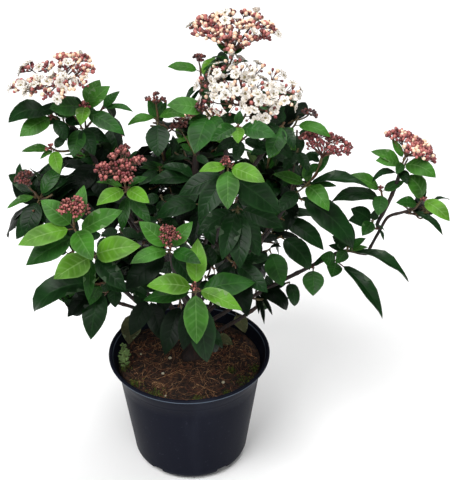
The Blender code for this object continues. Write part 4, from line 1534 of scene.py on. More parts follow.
    shoot("centre_left", (-28, -45, 307), (-0.1, 0.6, 0.8),
        (-20, -8, 4, DARK, 1.2, 0.7), (22, -4, 4, DARK, 1.2, 0.7), (2, -26, 4, DEEP, 1.2, 0.8), tint=DEEP),
    shoot("centre_middle", (-5, -60, 279), (0.0, 0.6, 0.8),
        (-22, -6, 4, DARK, 1.2, 0.7), (22, -8, 4, DARK, 1.2, 0.7), (2, -26, 4, DEEP, 1.2, 0.8), tint=DEEP),
    shoot("under_white", (54, -48, 408), (0.2, 0.7, 0.6),
        (-6, -22, 6, DARK, 1.2, 0.8), (24, -12, 6, DARK, 1.1, 0.8), (-22, -8, 4, DARK, 1.1, 0.8), size=36),
    shoot("under_right_mid", (129, -12, 364), (0.1, 0.9, 0.3),
        (-14, 8, 4, DARK, 1.1, 0.7), (-16, -14, 4, MID, 1.1, 0.7), (12, 14, 2, MID, 0.7, 0.4), pairs=0),
    shoot("lower_right", (104, 6, 212), (0.4, 0.1, 0.8),
        (6, -24, 6, DARK, 1, 0.6, 0, HOOKED), (-24, -10, 4, DEEP, 0.8, 0.4, 0, ARCHED), pairs=0),
    *(closing_spray(tip) for tip in (
        (0, -55, 305), (19, -55, 262), (-45, -45, 246), (-60, -60, 318), (-23, -50, 324), (49, -50, 346),
        (106, 0, 390), (-23, -20, 331), (-76, -60, 314), (1, -40, 294), (-69, -50, 250), (-112, -10, 409),
        (40, 2, 433), (63, 0, 430), (86, 0, 428)
    )),
    shoot("low_front", (-4, -92, 258), (0.0, 0.2, 0.9),
        (-14, -50, 6, DEEP, 1.1, 0.8), (22, -44, 6, DEEP, 1, 0.8), pairs=0),
)

SKY_GAPS = tuple(SkyGap(*row) for row in (
    # The left of the picture.
    (133, 136, 13, 17), (138, 122, 12, 12), (132, 104, 10, 8), (8, 206, 12, 28), (42, 265, 18, 9),
    (66, 322, 24, 14), (108, 332, 12, 16), (120, 310, 16, 14), (56, 305, 9, 9), (86, 326, 13, 18),
    (49, 280, 8, 11), (37, 165, 7, 9), (48, 130, 12, 10),
    # The middle of the picture.
    (264, 176, 8, 6), (277, 127, 7, 4), (168, 90, 14, 10), (190, 57, 22, 11), (266, 258, 5, 12),
    (182, 79, 17, 9), (262, 245, 8, 13), (280, 322, 16, 12), (182, 263, 4, 4), (206, 231, 4, 4),
    (262, 297, 6, 6),
    # The right of the picture.
    (306, 169, 4, 5), (404, 182, 9, 13), (302, 236, 20, 7), (303, 264, 8, 10), (335, 304, 28, 26),
    (378, 264, 24, 15), (358, 268, 14, 9), (464, 216, 22, 20), (362, 186, 8, 10), (404, 286, 24, 22),
    (400, 220, 10, 16), (413, 236, 36, 23), (437, 184, 16, 14), (340, 216, 18, 9), (338, 174, 8, 6)
))


@dataclass(frozen=True)
class Twig:
    """A grown twig's points, and each one's distance from the tip."""

    line: Array
    back: Array

    def point(self, distance: float) -> Array:
        """Gives the point at a distance from the tip."""
        return np.array([np.interp(distance, self.back[::-1], self.line[::-1, k]) for k in range(3)])

    def at(self, distance: float) -> tuple[Array, Array]:
        """Gives the point at a distance from the tip, not too near the foot, and the direction there."""
        distance = min(distance, float(self.back[0]) * 0.9)
        return self.point(distance), unit(self.point(max(distance - 3, 0)) - self.point(distance + 3))


@dataclass
class Foliage:
    """All leaves and twigs: the shoots that show, and seeded shoots that fill every mass from all sides."""

    crown: Crown
    skeleton: Skeleton
    first_gap: float = 7.0
    gap_growth: float = 1.45
    leaf_length: float = 50.0
    inset: float = 20.0
    layers: tuple[Pair, ...] = ((1.0, 2200.0), (0.5, 2600.0))
    overhang: float = 12.0
    shield: float = 34.0
    inner_shoots: int = 120
    inner_from: float = 195.0
    slim_size: float = 17.0
    widest: float = 88.0
    angle_step: float = 15.0
    angle_play: float = 8.0
    roll_play: float = 0.2
    sag: float = 0.1
    first_size: float = 0.62
    size_step: float = 0.2
    size_play: Pair = (0.88, 1.1)
    face_play: float = 0.12
    soft_share: float = 0.62
    soft_step: float = 0.14
    shown_below: float = 20.0
    shown_opening: float = 70.0
    leaf_step: float = 1.5
    aim_share: float = 0.15
    width_play: Pair = (0.94, 1.06)
    green_length: float = 16.0
    green_share: float = 1.2
    face_mix: Pair = (0.6, 0.7)
    tries: Pair = (1.0, 0.82)
    tested: Triple = (0.35, 0.65, 1.0)
    margin: float = 10.0
    stem_place: Pair = (10.0, 10.0)
    rise_share: float = 0.85
    rise_shift: float = 0.1
    inset_play: Pair = (0.8, 1.3)
    least_depth: float = 0.35
    slim_facing: float = -0.2
    aim_mix: Triple = (0.75, 0.45, 0.3)
    inner_depth: float = 2.0
    inner_reach: Pair = (14.0, 28.0)
    inner_straight: float = 12.0
    inner_size: Pair = (0.8, 1.0)
    inner_opening: float = 62.0
    straight: float = 26.0
    opening: float = 42.0
    pair_counts: tuple[int, int] = (4, 6)
    leaf_play: Pair = (0.88, 1.12)
    bright_facing: float = 0.25
    bright_height: float = -0.45
    bright_share: float = 0.68
    mid_share: float = 0.3
    young_share: float = 0.5
    droops: tuple[Triple, ...] = ((8, 14, 20), (28, 36, 46), (66, 78, 92), (110, 128, 145))
    forms: tuple[dict[str, float], ...] = (
        {"width": 0.39, "fold": 15.0, "recurve": 0.10, "wave": 0.030},
        {"width": 0.35, "fold": 22.0, "recurve": 0.06, "wave": 0.055},
        {"width": 0.42, "fold": 10.0, "recurve": 0.16, "wave": 0.040},
    )
    twists: Triple = (7.0, -9.0, 3.0)

    def __post_init__(self) -> None:
        """Prepares the leaf shapes, one set for every tint, and the twigs."""
        self.random = np.random.default_rng(SEED)
        shapes = [
            Blade(droop=self.droops[k][j], twist=self.twists[(j + k) % 3], phase=2.1 * j + k, **form).parts()
            for k in range(len(Bend)) for j, form in enumerate(self.forms)
        ]
        self.dealers = {tint: Scatter(f"leaves_{tint.name.lower()}", shapes) for tint in Tint}
        self.twigs = Strands("twigs_brown", 7)
        self.young_twigs = Strands("twigs_young", 6)
        self.shown = [PICTURE.seen(np.array(s.tip, float)) for s in SHOWN_SHOOTS]

    def leaf(self, foot: Array, reach: Array, face: Array, tint: Tint, bend: Bend, wide: float = 1.0) -> None:
        """Deals one leaf.

        Args:
            foot: Where its stalk leaves the twig.
            reach: From there to its tip.
            face: Where its upper side looks.
            tint: Its colour.
            bend: How much it arches.
            wide: Share of the usual width.
        """
        length = float(np.linalg.norm(reach))
        kind = 3 * bend.value + int(self.random.integers(3))
        across = length * wide * self.random.uniform(*self.width_play)
        self.dealers[tint].deal(foot, reach, face, (across, length, length), kind)

    def twig(self, tip: Array, aim: Array, straight: float) -> Twig:
        """Grows a twig to a shoot's tip, brown below and green near the tip.

        Args:
            tip: The shoot's tip.
            aim: Its direction.
            straight: Length of its leafy part.

        Returns:
            The twig.
        """
        line, radii = self.skeleton.grow(tip, aim, straight)
        steps = np.linalg.norm(np.diff(line, axis=0), axis=1)
        back = np.concatenate([np.cumsum(steps[::-1])[::-1], [0.0]])
        split = int(np.searchsorted(-back, -max(self.green_length, straight * self.green_share)))
        split = min(max(split, 1), len(line) - 2)
        self.twigs.add(line[: split + 1], radii[: split + 1])
        self.young_twigs.add(line[split:], radii[split:])
        return Twig(line, back)

    def pairs(
        self, twig: Twig, places: tuple[float, int], size: float, tints: Sequence[Tint], opening: float
    ) -> None:
        """Deals opposite pairs of leaves down a twig, each pair turned a quarter from the last.

        Args:
            twig: The twig.
            places: Distance of the first pair from the tip, and how many pairs.
            size: Length of a full leaf.
            tints: Each pair's tint.
            opening: Angle between the twig and the first pair.
        """
        roll = self.random.uniform(0, math.pi)
        distance, count = places
        gap = self.first_gap
        for index in range(count):
            foot, tangent = twig.at(distance)
            gap *= self.gap_growth
            distance += gap
            first = unit(np.cross(tangent, UP if abs(tangent[2]) < 0.95 else (1.0, 0.0, 0.0)))
            second = np.cross(tangent, first)
            spread = opening + self.angle_step * index
            spread += self.random.uniform(-self.angle_play, self.angle_play)
            angle = math.radians(min(self.widest, spread))
            for half in (0.0, math.pi):
                around = roll + index * math.pi / 2 + half
                around += self.random.uniform(-self.roll_play, self.roll_play)
                away = math.cos(around) * first + math.sin(around) * second
                sag = UP * self.sag * (index + 0.5)
                heading = unit(math.cos(angle) * tangent + math.sin(angle) * away - sag)
                full = size * min(1.0, self.first_size + self.size_step * index)
                length = full * self.random.uniform(*self.size_play)
                along, up = self.face_mix
                face = unit(tangent * along + UP * up + self.random.normal(0, self.face_play, 3))
                soft = self.random.random() < self.soft_share - self.soft_step * index
                bend = SOFT if soft else ARCHED
                self.seeded_leaf(foot, heading * length, face, tints[min(index, len(tints) - 1)], bend)

    def seeded_leaf(self, foot: Array, reach: Array, face: Array, tint: Tint, bend: Bend) -> None:
        """Deals a leaf by the rule, unless it would close a gap, hide a shoot that shows, or leave the crown.

        Args:
            foot: Where its stalk leaves the twig.
            reach: From there to its tip.
            face: Where its upper side looks.
            tint: Its colour.
            bend: How much it arches.
        """
        for shrink in self.tries:
            low, middle, tip = (foot + reach * shrink * share for share in self.tested)
            if self.crown.outside(tip) > self.overhang:
                continue
            if any(map(self.in_sky, (low, middle, tip))) or any(map(self.hides, (low, middle))):
                continue
            self.leaf(foot, reach * shrink, face, tint, bend)
            return

    def in_sky(self, point: Array) -> bool:
        """Tells whether a point shows in one of the crown's openings."""
        return any(gap.holds(point) for gap in SKY_GAPS)

    def hides(self, point: Array) -> bool:
        """Tells whether a point would stand between the camera and a shoot that shows.

        Args:
            point: The point, in the model's frame.

        Returns:
            True if it would.
        """
        right, up, near = PICTURE.seen(point)
        reach, margin = self.shield**2, self.margin
        return any((right - r) ** 2 + (up - u) ** 2 < reach and near > n - margin for r, u, n in self.shown)

    def grow_shown(self) -> None:
        """Grows the shoots that the photograph shows, with their own leaves and a few dealt below them."""
        for spray in SHOWN_SHOOTS:
            aim = unit(PICTURE.world(spray.aim))
            twig = self.twig(np.array(spray.tip, float), aim, spray.straight)
            LOG.debug("shoot %s: %d leaves", spray.name, len(spray.leaves))
            for index, leaf in enumerate(spray.leaves):
                foot, _ = twig.at(spray.bare + leaf.below + self.leaf_step * (index // 2))
                face = unit(UP * (1 - leaf.facing) + PICTURE.axes()[2] * leaf.facing + aim * self.aim_share)
                self.leaf(foot, PICTURE.world(leaf.reach), face, leaf.tint, leaf.bend, leaf.wide)
            if spray.pairs:
                places = (spray.bare + self.shown_below, spray.pairs)
                # The pairs below darken to dark leaves and then painted shade.
                self.pairs(twig, places, spray.size, [spray.tint, DARK, DEEP], self.shown_opening)

    def fill(self) -> None:
        """Grows seeded shoots out to the surface of every mass."""
        axis = np.array(self.stem_place)
        for name in self.crown.names:
            middle, size = self.crown.middles[name], self.crown.sizes[name]
            slim = float(size.min()) < self.slim_size
            area = 4 * math.pi * float(np.mean([size[0] * size[1], size[1] * size[2], size[0] * size[2]]))
            for share, area_per_shoot in self.layers[: 1 if slim else 2]:
                count = max(2, round(area * share / area_per_shoot))
                start = self.random.uniform(0, 2 * math.pi)
                for index in range(count):
                    height = 1 - 2 * (index + 0.5) / count
                    around = start + index * GOLDEN_ANGLE
                    flat = math.sqrt(1 - height**2)
                    rise = height * self.rise_share + self.rise_shift
                    way = unit((flat * math.cos(around), flat * math.sin(around), rise))
                    depth = self.crown.surface(name, way) * share
                    inset = self.inset * share * self.random.uniform(*self.inset_play)
                    tip = middle + way * max(depth - inset, depth * self.least_depth)
                    near = PICTURE.axes()[2] @ way
                    if self.hides(tip) or self.in_sky(tip) or (slim and near > self.slim_facing):
                        continue
                    outward = np.array([*(tip[:2] - axis), 0.0])
                    by_way, by_up, by_out = self.aim_mix
                    aim = unit(way * by_way + UP * by_up + unit(outward) * by_out)
                    self.filler(tip, aim, near if share == 1 else 1.0, way)

    def shade(self) -> None:
        """Grows short shoots on the boughs inside the crown, their leaves in painted shade, which close it
        against the light.
        """
        wood = self.random.permutation(np.array([p for p in self.skeleton.points if p[2] > self.inner_from]))
        inner = [p for p in wood[: 4 * self.inner_shoots] if self.crown.outside(p) < -self.inner_depth]
        for place in inner[: self.inner_shoots]:
            side = unit(self.random.normal(0, 1, 3) + UP * 0.3)
            tip = place + side * self.random.uniform(*self.inner_reach)
            if self.in_sky(tip) or self.in_sky((tip + place) / 2):
                continue
            twig = self.twig(tip, unit(side + UP * 0.5), self.inner_straight)
            size = self.leaf_length * self.random.uniform(*self.inner_size)
            self.pairs(twig, (1.0, 2), size, [DEEP], self.inner_opening)

    def filler(self, tip: Array, aim: Array, near: float, way: Array) -> None:
        """Grows one seeded shoot.

        Args:
            tip: Its tip.
            aim: Its direction.
            near: How much its side of the mass looks at the camera.
            way: From its mass's middle to the tip.
        """
        twig = self.twig(tip, aim, self.straight)
        # Shoots on a lit side often take young and fresh tints, lighter partly by where light falls; the
        # others darken to painted shade.
        lit = near < self.bright_facing and way[2] > self.bright_height
        bright = lit and self.random.random() < self.bright_share
        tints = [FRESH, MID, DARK, DARK] if bright else [DARK, DARK, DEEP, DEEP]
        if not bright and self.random.random() < self.mid_share:
            tints[0] = MID
        if bright and self.random.random() < self.young_share:
            tints[0] = YOUNG
        count = int(self.random.integers(*self.pair_counts))
        size = self.leaf_length * self.random.uniform(*self.leaf_play)
        self.pairs(twig, (2.0, count), size, tints, self.opening)

    def build(self) -> None:
        """Makes the leaf and twig pieces and hands them over."""
        stalk = BarkFinish("leaf_stalk", (86, 80, 36), (104, 58, 40), 0.5, 0.1).material()
        names = self.crown.names
        for tint, dealer in self.dealers.items():
            hand_over(dealer.build(tint.value.material(), tint.value.underside(), stalk), names)
        young = BarkFinish("young_twig", (84, 72, 36), (92, 50, 36), 0.55, 0.1)
        brown = BarkFinish("twig_bark", (46, 31, 25), (70, 50, 38), 0.7, 0.15)
        for twigs, finish in ((self.twigs, brown), (self.young_twigs, young)):
            hand_over(twigs.build(finish.material()), names)
        LOG.info("leaves: %s", {tint.name: len(dealer.kinds) for tint, dealer in self.dealers.items()})


class Stage(Enum):
    """How far a flower has come, with its colour, the colour of its calyx and its length."""

    OPEN = (PetalFinish("petal_white", (234, 230, 226), (204, 194, 180), 0.5), 11.0)
    CREAM = (PetalFinish("bud_cream", (246, 226, 198), (226, 180, 152)), 6.2)
    ROSE = (PetalFinish("bud_rose", (190, 120, 112), (152, 76, 74)), 5.8)
    RED = (PetalFinish("bud_red", (130, 58, 60), (92, 37, 42)), 5.2)
    BROWN = (PetalFinish("bud_brown", (122, 66, 56), (84, 42, 38), 0.5, 0.05), 4.4)
    DUSK = (PetalFinish("bud_dusk", (78, 44, 44), (48, 28, 30), 0.5, 0.02), 4.2)


OPEN, CREAM, ROSE, RED, BROWN, DUSK = Stage


@dataclass(frozen=True)
class FlowerHead:
    """A branched head of flowers and buds, or the small young head of a shoot.

    Its lobes are either told by number, for a round head, or given as the photograph shows them: how far each
    lies to the right and up from the head's middle, and its reach.
    """

    name: str
    centre: Triple
    radius: float
    depth: float
    lean: Triple
    spacing: float
    mix: dict[Stage, float]
    lobes: int | tuple[Triple, ...] = 7
    open_side: Triple = (0.0, 0.0, 0.0)
    stalk: float = 22.0
    bud_size: float = 1.0
    drop: float = 0.42

    @property
    def node(self) -> str:
        """The CAD node that a large head has."""
        return f"flower_head_{self.name}"


BUDS_PALE = {CREAM: 0.4, ROSE: 0.15, RED: 0.17, BROWN: 0.25, OPEN: 0.03}
BUDS_BROWN = {BROWN: 0.5, ROSE: 0.22, RED: 0.28}
BUDS_DARK = {BROWN: 0.45, DUSK: 0.55}

TOP_LOBES = (
    (-37, 3, 7), (-31, 14, 7), (-18, 17, 7), (-4, 18, 7), (12, 18, 7), (24, 14, 7), (34, 6, 8),
    (39, -2, 6.5), (30, -9, 8), (18, -13, 7), (-25, -9, 8), (-14, -15, 7), (7, -1, 9), (-8, 4, 9),
    (20, 2, 9), (-22, 4, 8.5), (1, -14, 8), (10, -19, 6), (-35, -6, 6), (-4, -23, 6), (-14, -5, 7),
    (-5, -8, 6), (-13, 10, 6))
WHITE_LOBES = (
    (-42, 10, 10), (-29, 23, 9), (-13, 32, 8), (-9, 19, 10), (9, 23, 9), (27, 17, 9), (43, 4, 9),
    (-26, 2, 11), (-38, -10, 9), (-7, 0, 11), (9, 4, 10), (25, 0, 10), (38, -9, 8), (-15, -15, 10),
    (6, -12, 10), (23, -13, 9), (3, -27, 8), (20, -22, 8))
LEFT_LOBES = (
    (-27, 6, 8), (-35, -10, 8.5), (-19, -11, 9), (-8, 4, 9), (6, 17, 8), (18, 18, 8), (28, 16, 7),
    (33, 4, 7.5), (25, -2, 8.5), (12, 6, 8.5), (6, -10, 9), (-8, -13, 8), (17, -15, 7), (-18, -19, 7),
    (-4, -22, 6.5), (28, -11, 6.5), (9, -22, 6.5), (20, 8, 7))
RIGHT_LOBES = (
    (-21, 14, 8), (-12, 8, 8.5), (-13, 17, 6), (-1, 15, 7.5), (6, 8, 8.5), (-1, 1, 7), (10, -2, 9),
    (18, 3, 8), (20, -9, 8.5), (9, -11, 7), (0, -9, 6), (-8, -5, 6))
RIGHT_MID_LOBES = (
    (-21, 8, 7), (-11, 2, 8), (-2, -6, 8), (8, -10, 7), (19, -6, 7), (23, 2, 6.5), (16, 8, 7), (9, 14, 6),
    (5, 3, 8), (-6, 10, 7), (-15, 12, 6), (-16, -3, 6))
LEFT_CENTRE_LOBES = (
    (-1, 17, 6.5), (5, 12, 5), (20, 8, 5.5), (14, 4, 5.5), (-8, 8, 6), (-19, -2, 7), (-9, -3, 7.5),
    (3, 0, 8), (-15, -10, 5.5), (0, -12, 6.5), (9, -12, 6.5), (12, -5, 5), (2, 23, 5.5))

FLOWER_HEADS = (
    FlowerHead("top", (46, 31, 484), 41, 10, (0.0, -0.06, 1), 4.1, BUDS_PALE, TOP_LOBES, stalk=10,
        bud_size=0.92, drop=0.66),
    FlowerHead("white", (60, -31, 448), 50, 13, (0.14, -0.42, 1), 6.5,
        {OPEN: 0.38, CREAM: 0.22, ROSE: 0.11, RED: 0.11, BROWN: 0.18}, WHITE_LOBES, bud_size=0.85),
    FlowerHead("left", (-116, -19, 461), 40, 11, (-0.14, -0.24, 1), 4.4,
        {OPEN: 0.17, CREAM: 0.25, ROSE: 0.22, RED: 0.24, BROWN: 0.12}, LEFT_LOBES,
        open_side=(-0.28, 0, 0.1), bud_size=0.88),
    FlowerHead("right", (218, 0, 375.5), 28, 9, (0.5, -0.1, 1), 4.3, {CREAM: 0.14, ROSE: 0.5, RED: 0.36},
        RIGHT_LOBES, stalk=12, bud_size=0.86, drop=0.5),
    FlowerHead("right_mid", (133, -21, 390), 28, 9, (0.24, 0.02, 1), 3.9,
        {ROSE: 0.16, RED: 0.6, BROWN: 0.24}, RIGHT_MID_LOBES, stalk=16, bud_size=0.78, drop=0.56),
    FlowerHead("left_centre", (-56, -62, 389), 25, 6, (0.0, -0.2, 1), 3.7, BUDS_BROWN, LEFT_CENTRE_LOBES,
        stalk=14, bud_size=0.8),
    FlowerHead("back", (14, 128, 346), 31, 15, (0, 0.34, 1), 7.4, {OPEN: 0.55, CREAM: 0.2, ROSE: 0.25}, 8,
        open_side=(0, 0.3, 0)),
    FlowerHead("left_front", (-95, -104, 371), 15, 8, (0.1, -0.3, 1), 3.2, BUDS_BROWN, 7, stalk=18,
        bud_size=0.68),
    FlowerHead("left_tip", (-149, -38, 361), 12, 10, (-0.2, -0.2, 1), 3.1,
        {BROWN: 0.6, DUSK: 0.3, RED: 0.1}, 6, stalk=12, bud_size=0.74),
    FlowerHead("mid_left", (-27, 18, 415), 13, 8, (0, -0.2, 1), 2.9, BUDS_DARK,
        ((-8, -1, 4), (0, 5, 4), (8, -1, 4), (0, -3, 4)), stalk=12, bud_size=0.84),
    FlowerHead("small_head", (-8, 26, 385), 10, 6, (-0.3, -0.2, 1), 3.8, {BROWN: 0.7, DUSK: 0.3}, 5,
        stalk=12, bud_size=0.85),
    FlowerHead("mid_front", (-11, -113, 347), 12, 7, (0, -0.4, 1), 2.8, {BROWN: 0.5, RED: 0.3, ROSE: 0.2},
        6, stalk=10, bud_size=0.6),
    FlowerHead("right_upper", (117, -10, 416), 8, 4, (0.3, 0, 1), 3.7, BUDS_DARK, 3, stalk=12,
        bud_size=0.85),
    FlowerHead("top_side", (14, 22, 456), 8, 5, (0, 0, 1), 3.0, BUDS_DARK, 4, stalk=8, bud_size=0.85),
    FlowerHead("upper_a", (16, -48, 441), 10, 3, (-0.3, -0.2, 1), 3.6, BUDS_DARK, 4, stalk=6, bud_size=0.85),
    FlowerHead("centre", (40, -95, 409), 7, 4, (0, -0.6, 1), 2.5, BUDS_BROWN, 4, stalk=6, bud_size=0.5),
    FlowerHead("front", (12, -133, 302), 5, 3, (0, -0.9, 0.6), 2.8, {BROWN: 0.8, ROSE: 0.2}, 3, stalk=4,
        bud_size=0.42),
    FlowerHead("right_end", (230, -15, 325), 4.5, 3, (0.3, -0.2, 1), 2.9, BUDS_BROWN, 3, stalk=4,
        bud_size=0.6),
    FlowerHead("right_fork", (187, -5, 331), 4.5, 3, (-0.1, -0.1, 1), 2.9, BUDS_BROWN, 3, stalk=4,
        bud_size=0.55),
    FlowerHead("left_top_c", (-90, -21, 428), 6, 3, (0, -0.3, 1), 3.1, BUDS_BROWN, 3, stalk=5,
        bud_size=0.65),
    FlowerHead("left_top_a", (-123, -16, 413), 5, 3, (-0.3, -0.3, 1), 2.9, BUDS_BROWN, 3, stalk=4,
        bud_size=0.6),
    FlowerHead("left_top_b", (-124, -30, 389), 5, 3, (-0.3, -0.3, 1), 2.9, BUDS_BROWN, 3, stalk=4,
        bud_size=0.6),
    FlowerHead("back_left", (-78, 130, 318), 10, 6, (-0.1, 0.3, 1), 3.8, BUDS_BROWN, 4, stalk=12,
        bud_size=0.85),
    FlowerHead("back_right", (92, 122, 326), 11, 6, (0.1, 0.3, 1), 3.8, BUDS_BROWN, 4, stalk=12,
        bud_size=0.85),
    FlowerHead("back_low", (-4, 118, 236), 9, 5, (0.0, 0.6, 0.8), 3.7, BUDS_DARK, 4, stalk=12, bud_size=0.8),
)


@dataclass
class Blossom:
    """All flower heads: their rays, and the flowers and buds on them."""

    skeleton: Skeleton
    foliage: Foliage
    lobe_cap: float = 78.0
    lobe_height: float = 0.62
    crowding: float = 1.3
    cups: Triple = (6.0, 26.0, 52.0)
    cup_shares: Triple = (0.6, 0.28, 0.12)
    swells: Pair = (1.0, 0.86)
    lobe_spread: float = 0.84
    lobe_play: Pair = (0.9, 1.1)
    joint_depth: float = 0.3
    lift_play: float = 0.1
    splay: float = 0.6
    dome: Pair = (0.4, 0.7)
    place_play: float = 0.1
    tilt_play: float = 0.14
    upright: float = 0.35
    outward: float = 0.8
    least_open: float = 0.02
    size_play: Pair = (0.88, 1.12)
    ray_radius: float = 0.72
    tip_reach: float = 30.0
    stalk_radius: float = 0.3
    petals: int = 5
    throat: tuple[Pair, ...] = (
        (0.0, -0.02), (0.03, 0.0), (0.05, 0.08), (0.125, 0.15), (0.08, 0.155), (0.0, 0.11))
    bud_shape: tuple[Pair, ...] = (
        (0.0, 0.22), (0.2, 0.26), (0.33, 0.45), (0.37, 0.64), (0.29, 0.85), (0.14, 0.97), (0.0, 1.0))
    calyx: tuple[Pair, ...] = ((0.0, 0.0), (0.09, 0.02), (0.2, 0.2), (0.25, 0.36), (0.18, 0.33), (0.0, 0.3))

    def __post_init__(self) -> None:
        """Prepares the shapes and what deals them."""
        self.random = np.random.default_rng(SEED + 1)
        flowers = [self.flower(cup) for cup in self.cups]
        buds = [self.bud(swell) for swell in self.swells]
        shapes = {stage: flowers if stage is OPEN else buds for stage in Stage}
        self.dealers = {stage: Scatter(f"flowers_{stage.name.lower()}", shapes[stage]) for stage in Stage}
        self.rays = Strands("flower_rays", 5)

    def flower(self, cup: float) -> MeshParts:
        """Builds an open flower one unit across, with five round petals, a throat and five stamens.

        Args:
            cup: Angle by which the petals rise.

        Returns:
            The flower, its foot at the origin and its face along y.
        """
        petal = Blade(
            width=0.92, stalk=0.0, base_fullness=0.42, tip_fullness=0.36, droop=34, fold=-9, recurve=-0.12,
            wave=0.05, rows=5, columns=(-1.0, -0.4, 0.4, 1.0), thickness=0.03, under_finish=0,
        ).parts()
        whole = MeshParts()
        face = np.array([0.0, 1.0, 0.0])
        rise = math.radians(cup)
        for index in range(self.petals):
            around = 2 * math.pi * index / self.petals
            out = np.array([math.cos(around), 0.0, math.sin(around)])
            along = out * math.cos(rise) + face * math.sin(rise)
            side = unit(np.cross(along, face))
            turn = np.array([side, along, np.cross(side, along)])
            whole.join(petal, turn, out * 0.06 + face * 0.13, 0.44)
            lean = unit(out * 0.45 + face)
            stem = np.array([out * 0.05 + face * 0.12, out * 0.07 + lean * 0.2, out * 0.08 + lean * 0.3])
            whole.add(*tube(stem, np.full(3, 0.012), 3))
            anther = np.array([stem[-1] + lean * further for further in (-0.02, 0.02, 0.05)])
            whole.add(*tube(anther, np.array([0.02, 0.036, 0.012]), 4), finish=1)
        whole.add(*lathed(self.throat, 7), finish=1)
        return whole

    def bud(self, swell: float) -> MeshParts:
        """Builds a bud one unit long, with a five-ribbed top on a small calyx.

        Args:
            swell: Share of the usual width.

        Returns:
            The bud, its foot at the origin and its length along y.
        """
        points, faces = lathed([(r * swell, h) for r, h in self.bud_shape], 10)
        around = np.arctan2(points[:, 2], points[:, 0])
        ribs = 1 + 0.09 * np.cos(self.petals * around) * np.clip(points[:, 1] * 2 - 0.6, 0, 1)
        whole = MeshParts()
        whole.add(points * np.column_stack([ribs, np.ones(len(ribs)), ribs]), faces)
        whole.add(*lathed(self.calyx, 6), finish=1)
        return whole

    def lobes(self, head: FlowerHead, lean: Array) -> list[tuple[Array, float]]:
        """Lays out a head's lobes in its plane.

        Args:
            head: The head.
            lean: Its own up.

        Returns:
            Each lobe's offset from the head's middle, and its reach.
        """
        if isinstance(head.lobes, tuple):
            across, up, near = PICTURE.axes() @ lean
            return [
                (PICTURE.world((right, rise, -(across * right + up * rise) / near)), reach)
                for right, rise, reach in head.lobes
            ]
        first = unit(np.cross(lean, (0.0, 1.0, 0.15)))
        second = np.cross(lean, first)
        start = self.random.uniform(0, 2 * math.pi)
        found = []
        for index in range(head.lobes):
            away = head.radius * self.lobe_spread * math.sqrt((index + 0.5) / head.lobes)
            around = start + index * GOLDEN_ANGLE
            offset = (first * math.cos(around) + second * math.sin(around)) * away
            reach = head.radius / math.sqrt(head.lobes) * self.random.uniform(*self.lobe_play)
            found.append((offset, reach))
        return found

    def grow(self, head: FlowerHead) -> None:
        """Grows one head on its stalk.

        Args:
            head: The head.
        """
        lean = unit(head.lean)
        centre = np.array(head.centre, float)
        joint = centre - lean * (head.depth * self.joint_depth + head.radius * head.drop)
        self.stalk(head, joint - lean * head.stalk, joint, lean)
        for offset, reach in self.lobes(head, lean):
            share = float(np.linalg.norm(offset)) / head.radius
            lift = self.random.uniform(-self.lift_play, self.lift_play) * head.depth
            axis = unit(lean + offset / head.radius * self.splay)
            level = head.depth * (self.dome[0] - self.dome[1] * share**2)
            middle = centre + offset + lean * (level + lift)
            knot = middle - axis * reach * 0.9 - offset * 0.12
            span = float(np.linalg.norm(knot - joint))
            leave = unit(lean + offset / head.radius * 0.5) * span * 0.7
            ray = hermite(joint, leave, knot, axis * span * 0.5, 5)
            thick = self.ray_radius * (0.6 + 0.4 * min(1.0, head.radius / 25))
            self.rays.add(ray, np.linspace(thick * 1.2, thick * 0.75, len(ray)))
            self.cluster(head, middle, axis, reach, knot)

    def cluster(self, head: FlowerHead, middle: Array, axis: Array, reach: float, knot: Array) -> None:
        """Deals one lobe's flowers and buds over a low dome.

        Args:
            head: The head.
            middle: The dome's top, level with the head's surface.
            axis: Where the dome looks.
            reach: The dome's radius.
            knot: Where the lobe's ray ends.
        """
        first = unit(np.cross(axis, (0.3, 1.0, 0.1)))
        second = np.cross(axis, first)
        count = max(2, round(math.pi * (reach / head.spacing) ** 2 * self.crowding))
        start = self.random.uniform(0, 2 * math.pi)
        lowest = math.cos(math.radians(self.lobe_cap))
        for index in range(count):
            high = 1 - (1 - lowest) * (index + 0.5) / count
            out = math.sqrt(1 - high**2)
            around = start + index * GOLDEN_ANGLE
            away = first * math.cos(around) + second * math.sin(around)
            place = middle + (away * out + axis * (high - 1) * self.lobe_height) * reach
            place += self.random.normal(0, head.spacing * self.place_play, 3)
            sway = self.random.normal(0, self.tilt_play, 3)
            tilt = unit(axis * (self.upright + high) + away * out * self.outward + sway)
            self.item(head, place, tilt, knot)

    def stalk(self, head: FlowerHead, foot: Array, joint: Array, lean: Array) -> None:
        """Grows the head's stalk from the nearest wood.

        Args:
            head: The head.
            foot: Where the stalk stands straight.
            joint: Where its rays part.
            lean: The head's own up.
        """
        wood = np.array(self.skeleton.points)
        ends = np.array([s.tip for s in SHOWN_SHOOTS], float)
        near = ends[np.argmin(np.linalg.norm(ends - foot, axis=1))]
        if np.linalg.norm(near - foot) > self.tip_reach:
            near = wood[np.argmin(np.linalg.norm(wood - foot, axis=1))]
        span = float(np.linalg.norm(joint - near))
        line = hermite(near, unit(foot - near + lean * 4) * span * 0.7, joint, lean * span * 0.7, 6)
        thick = 0.7 + 0.85 * min(1.0, head.radius / 30) ** 2
        self.foliage.young_twigs.add(line, np.linspace(thick * 1.1, thick, len(line)))

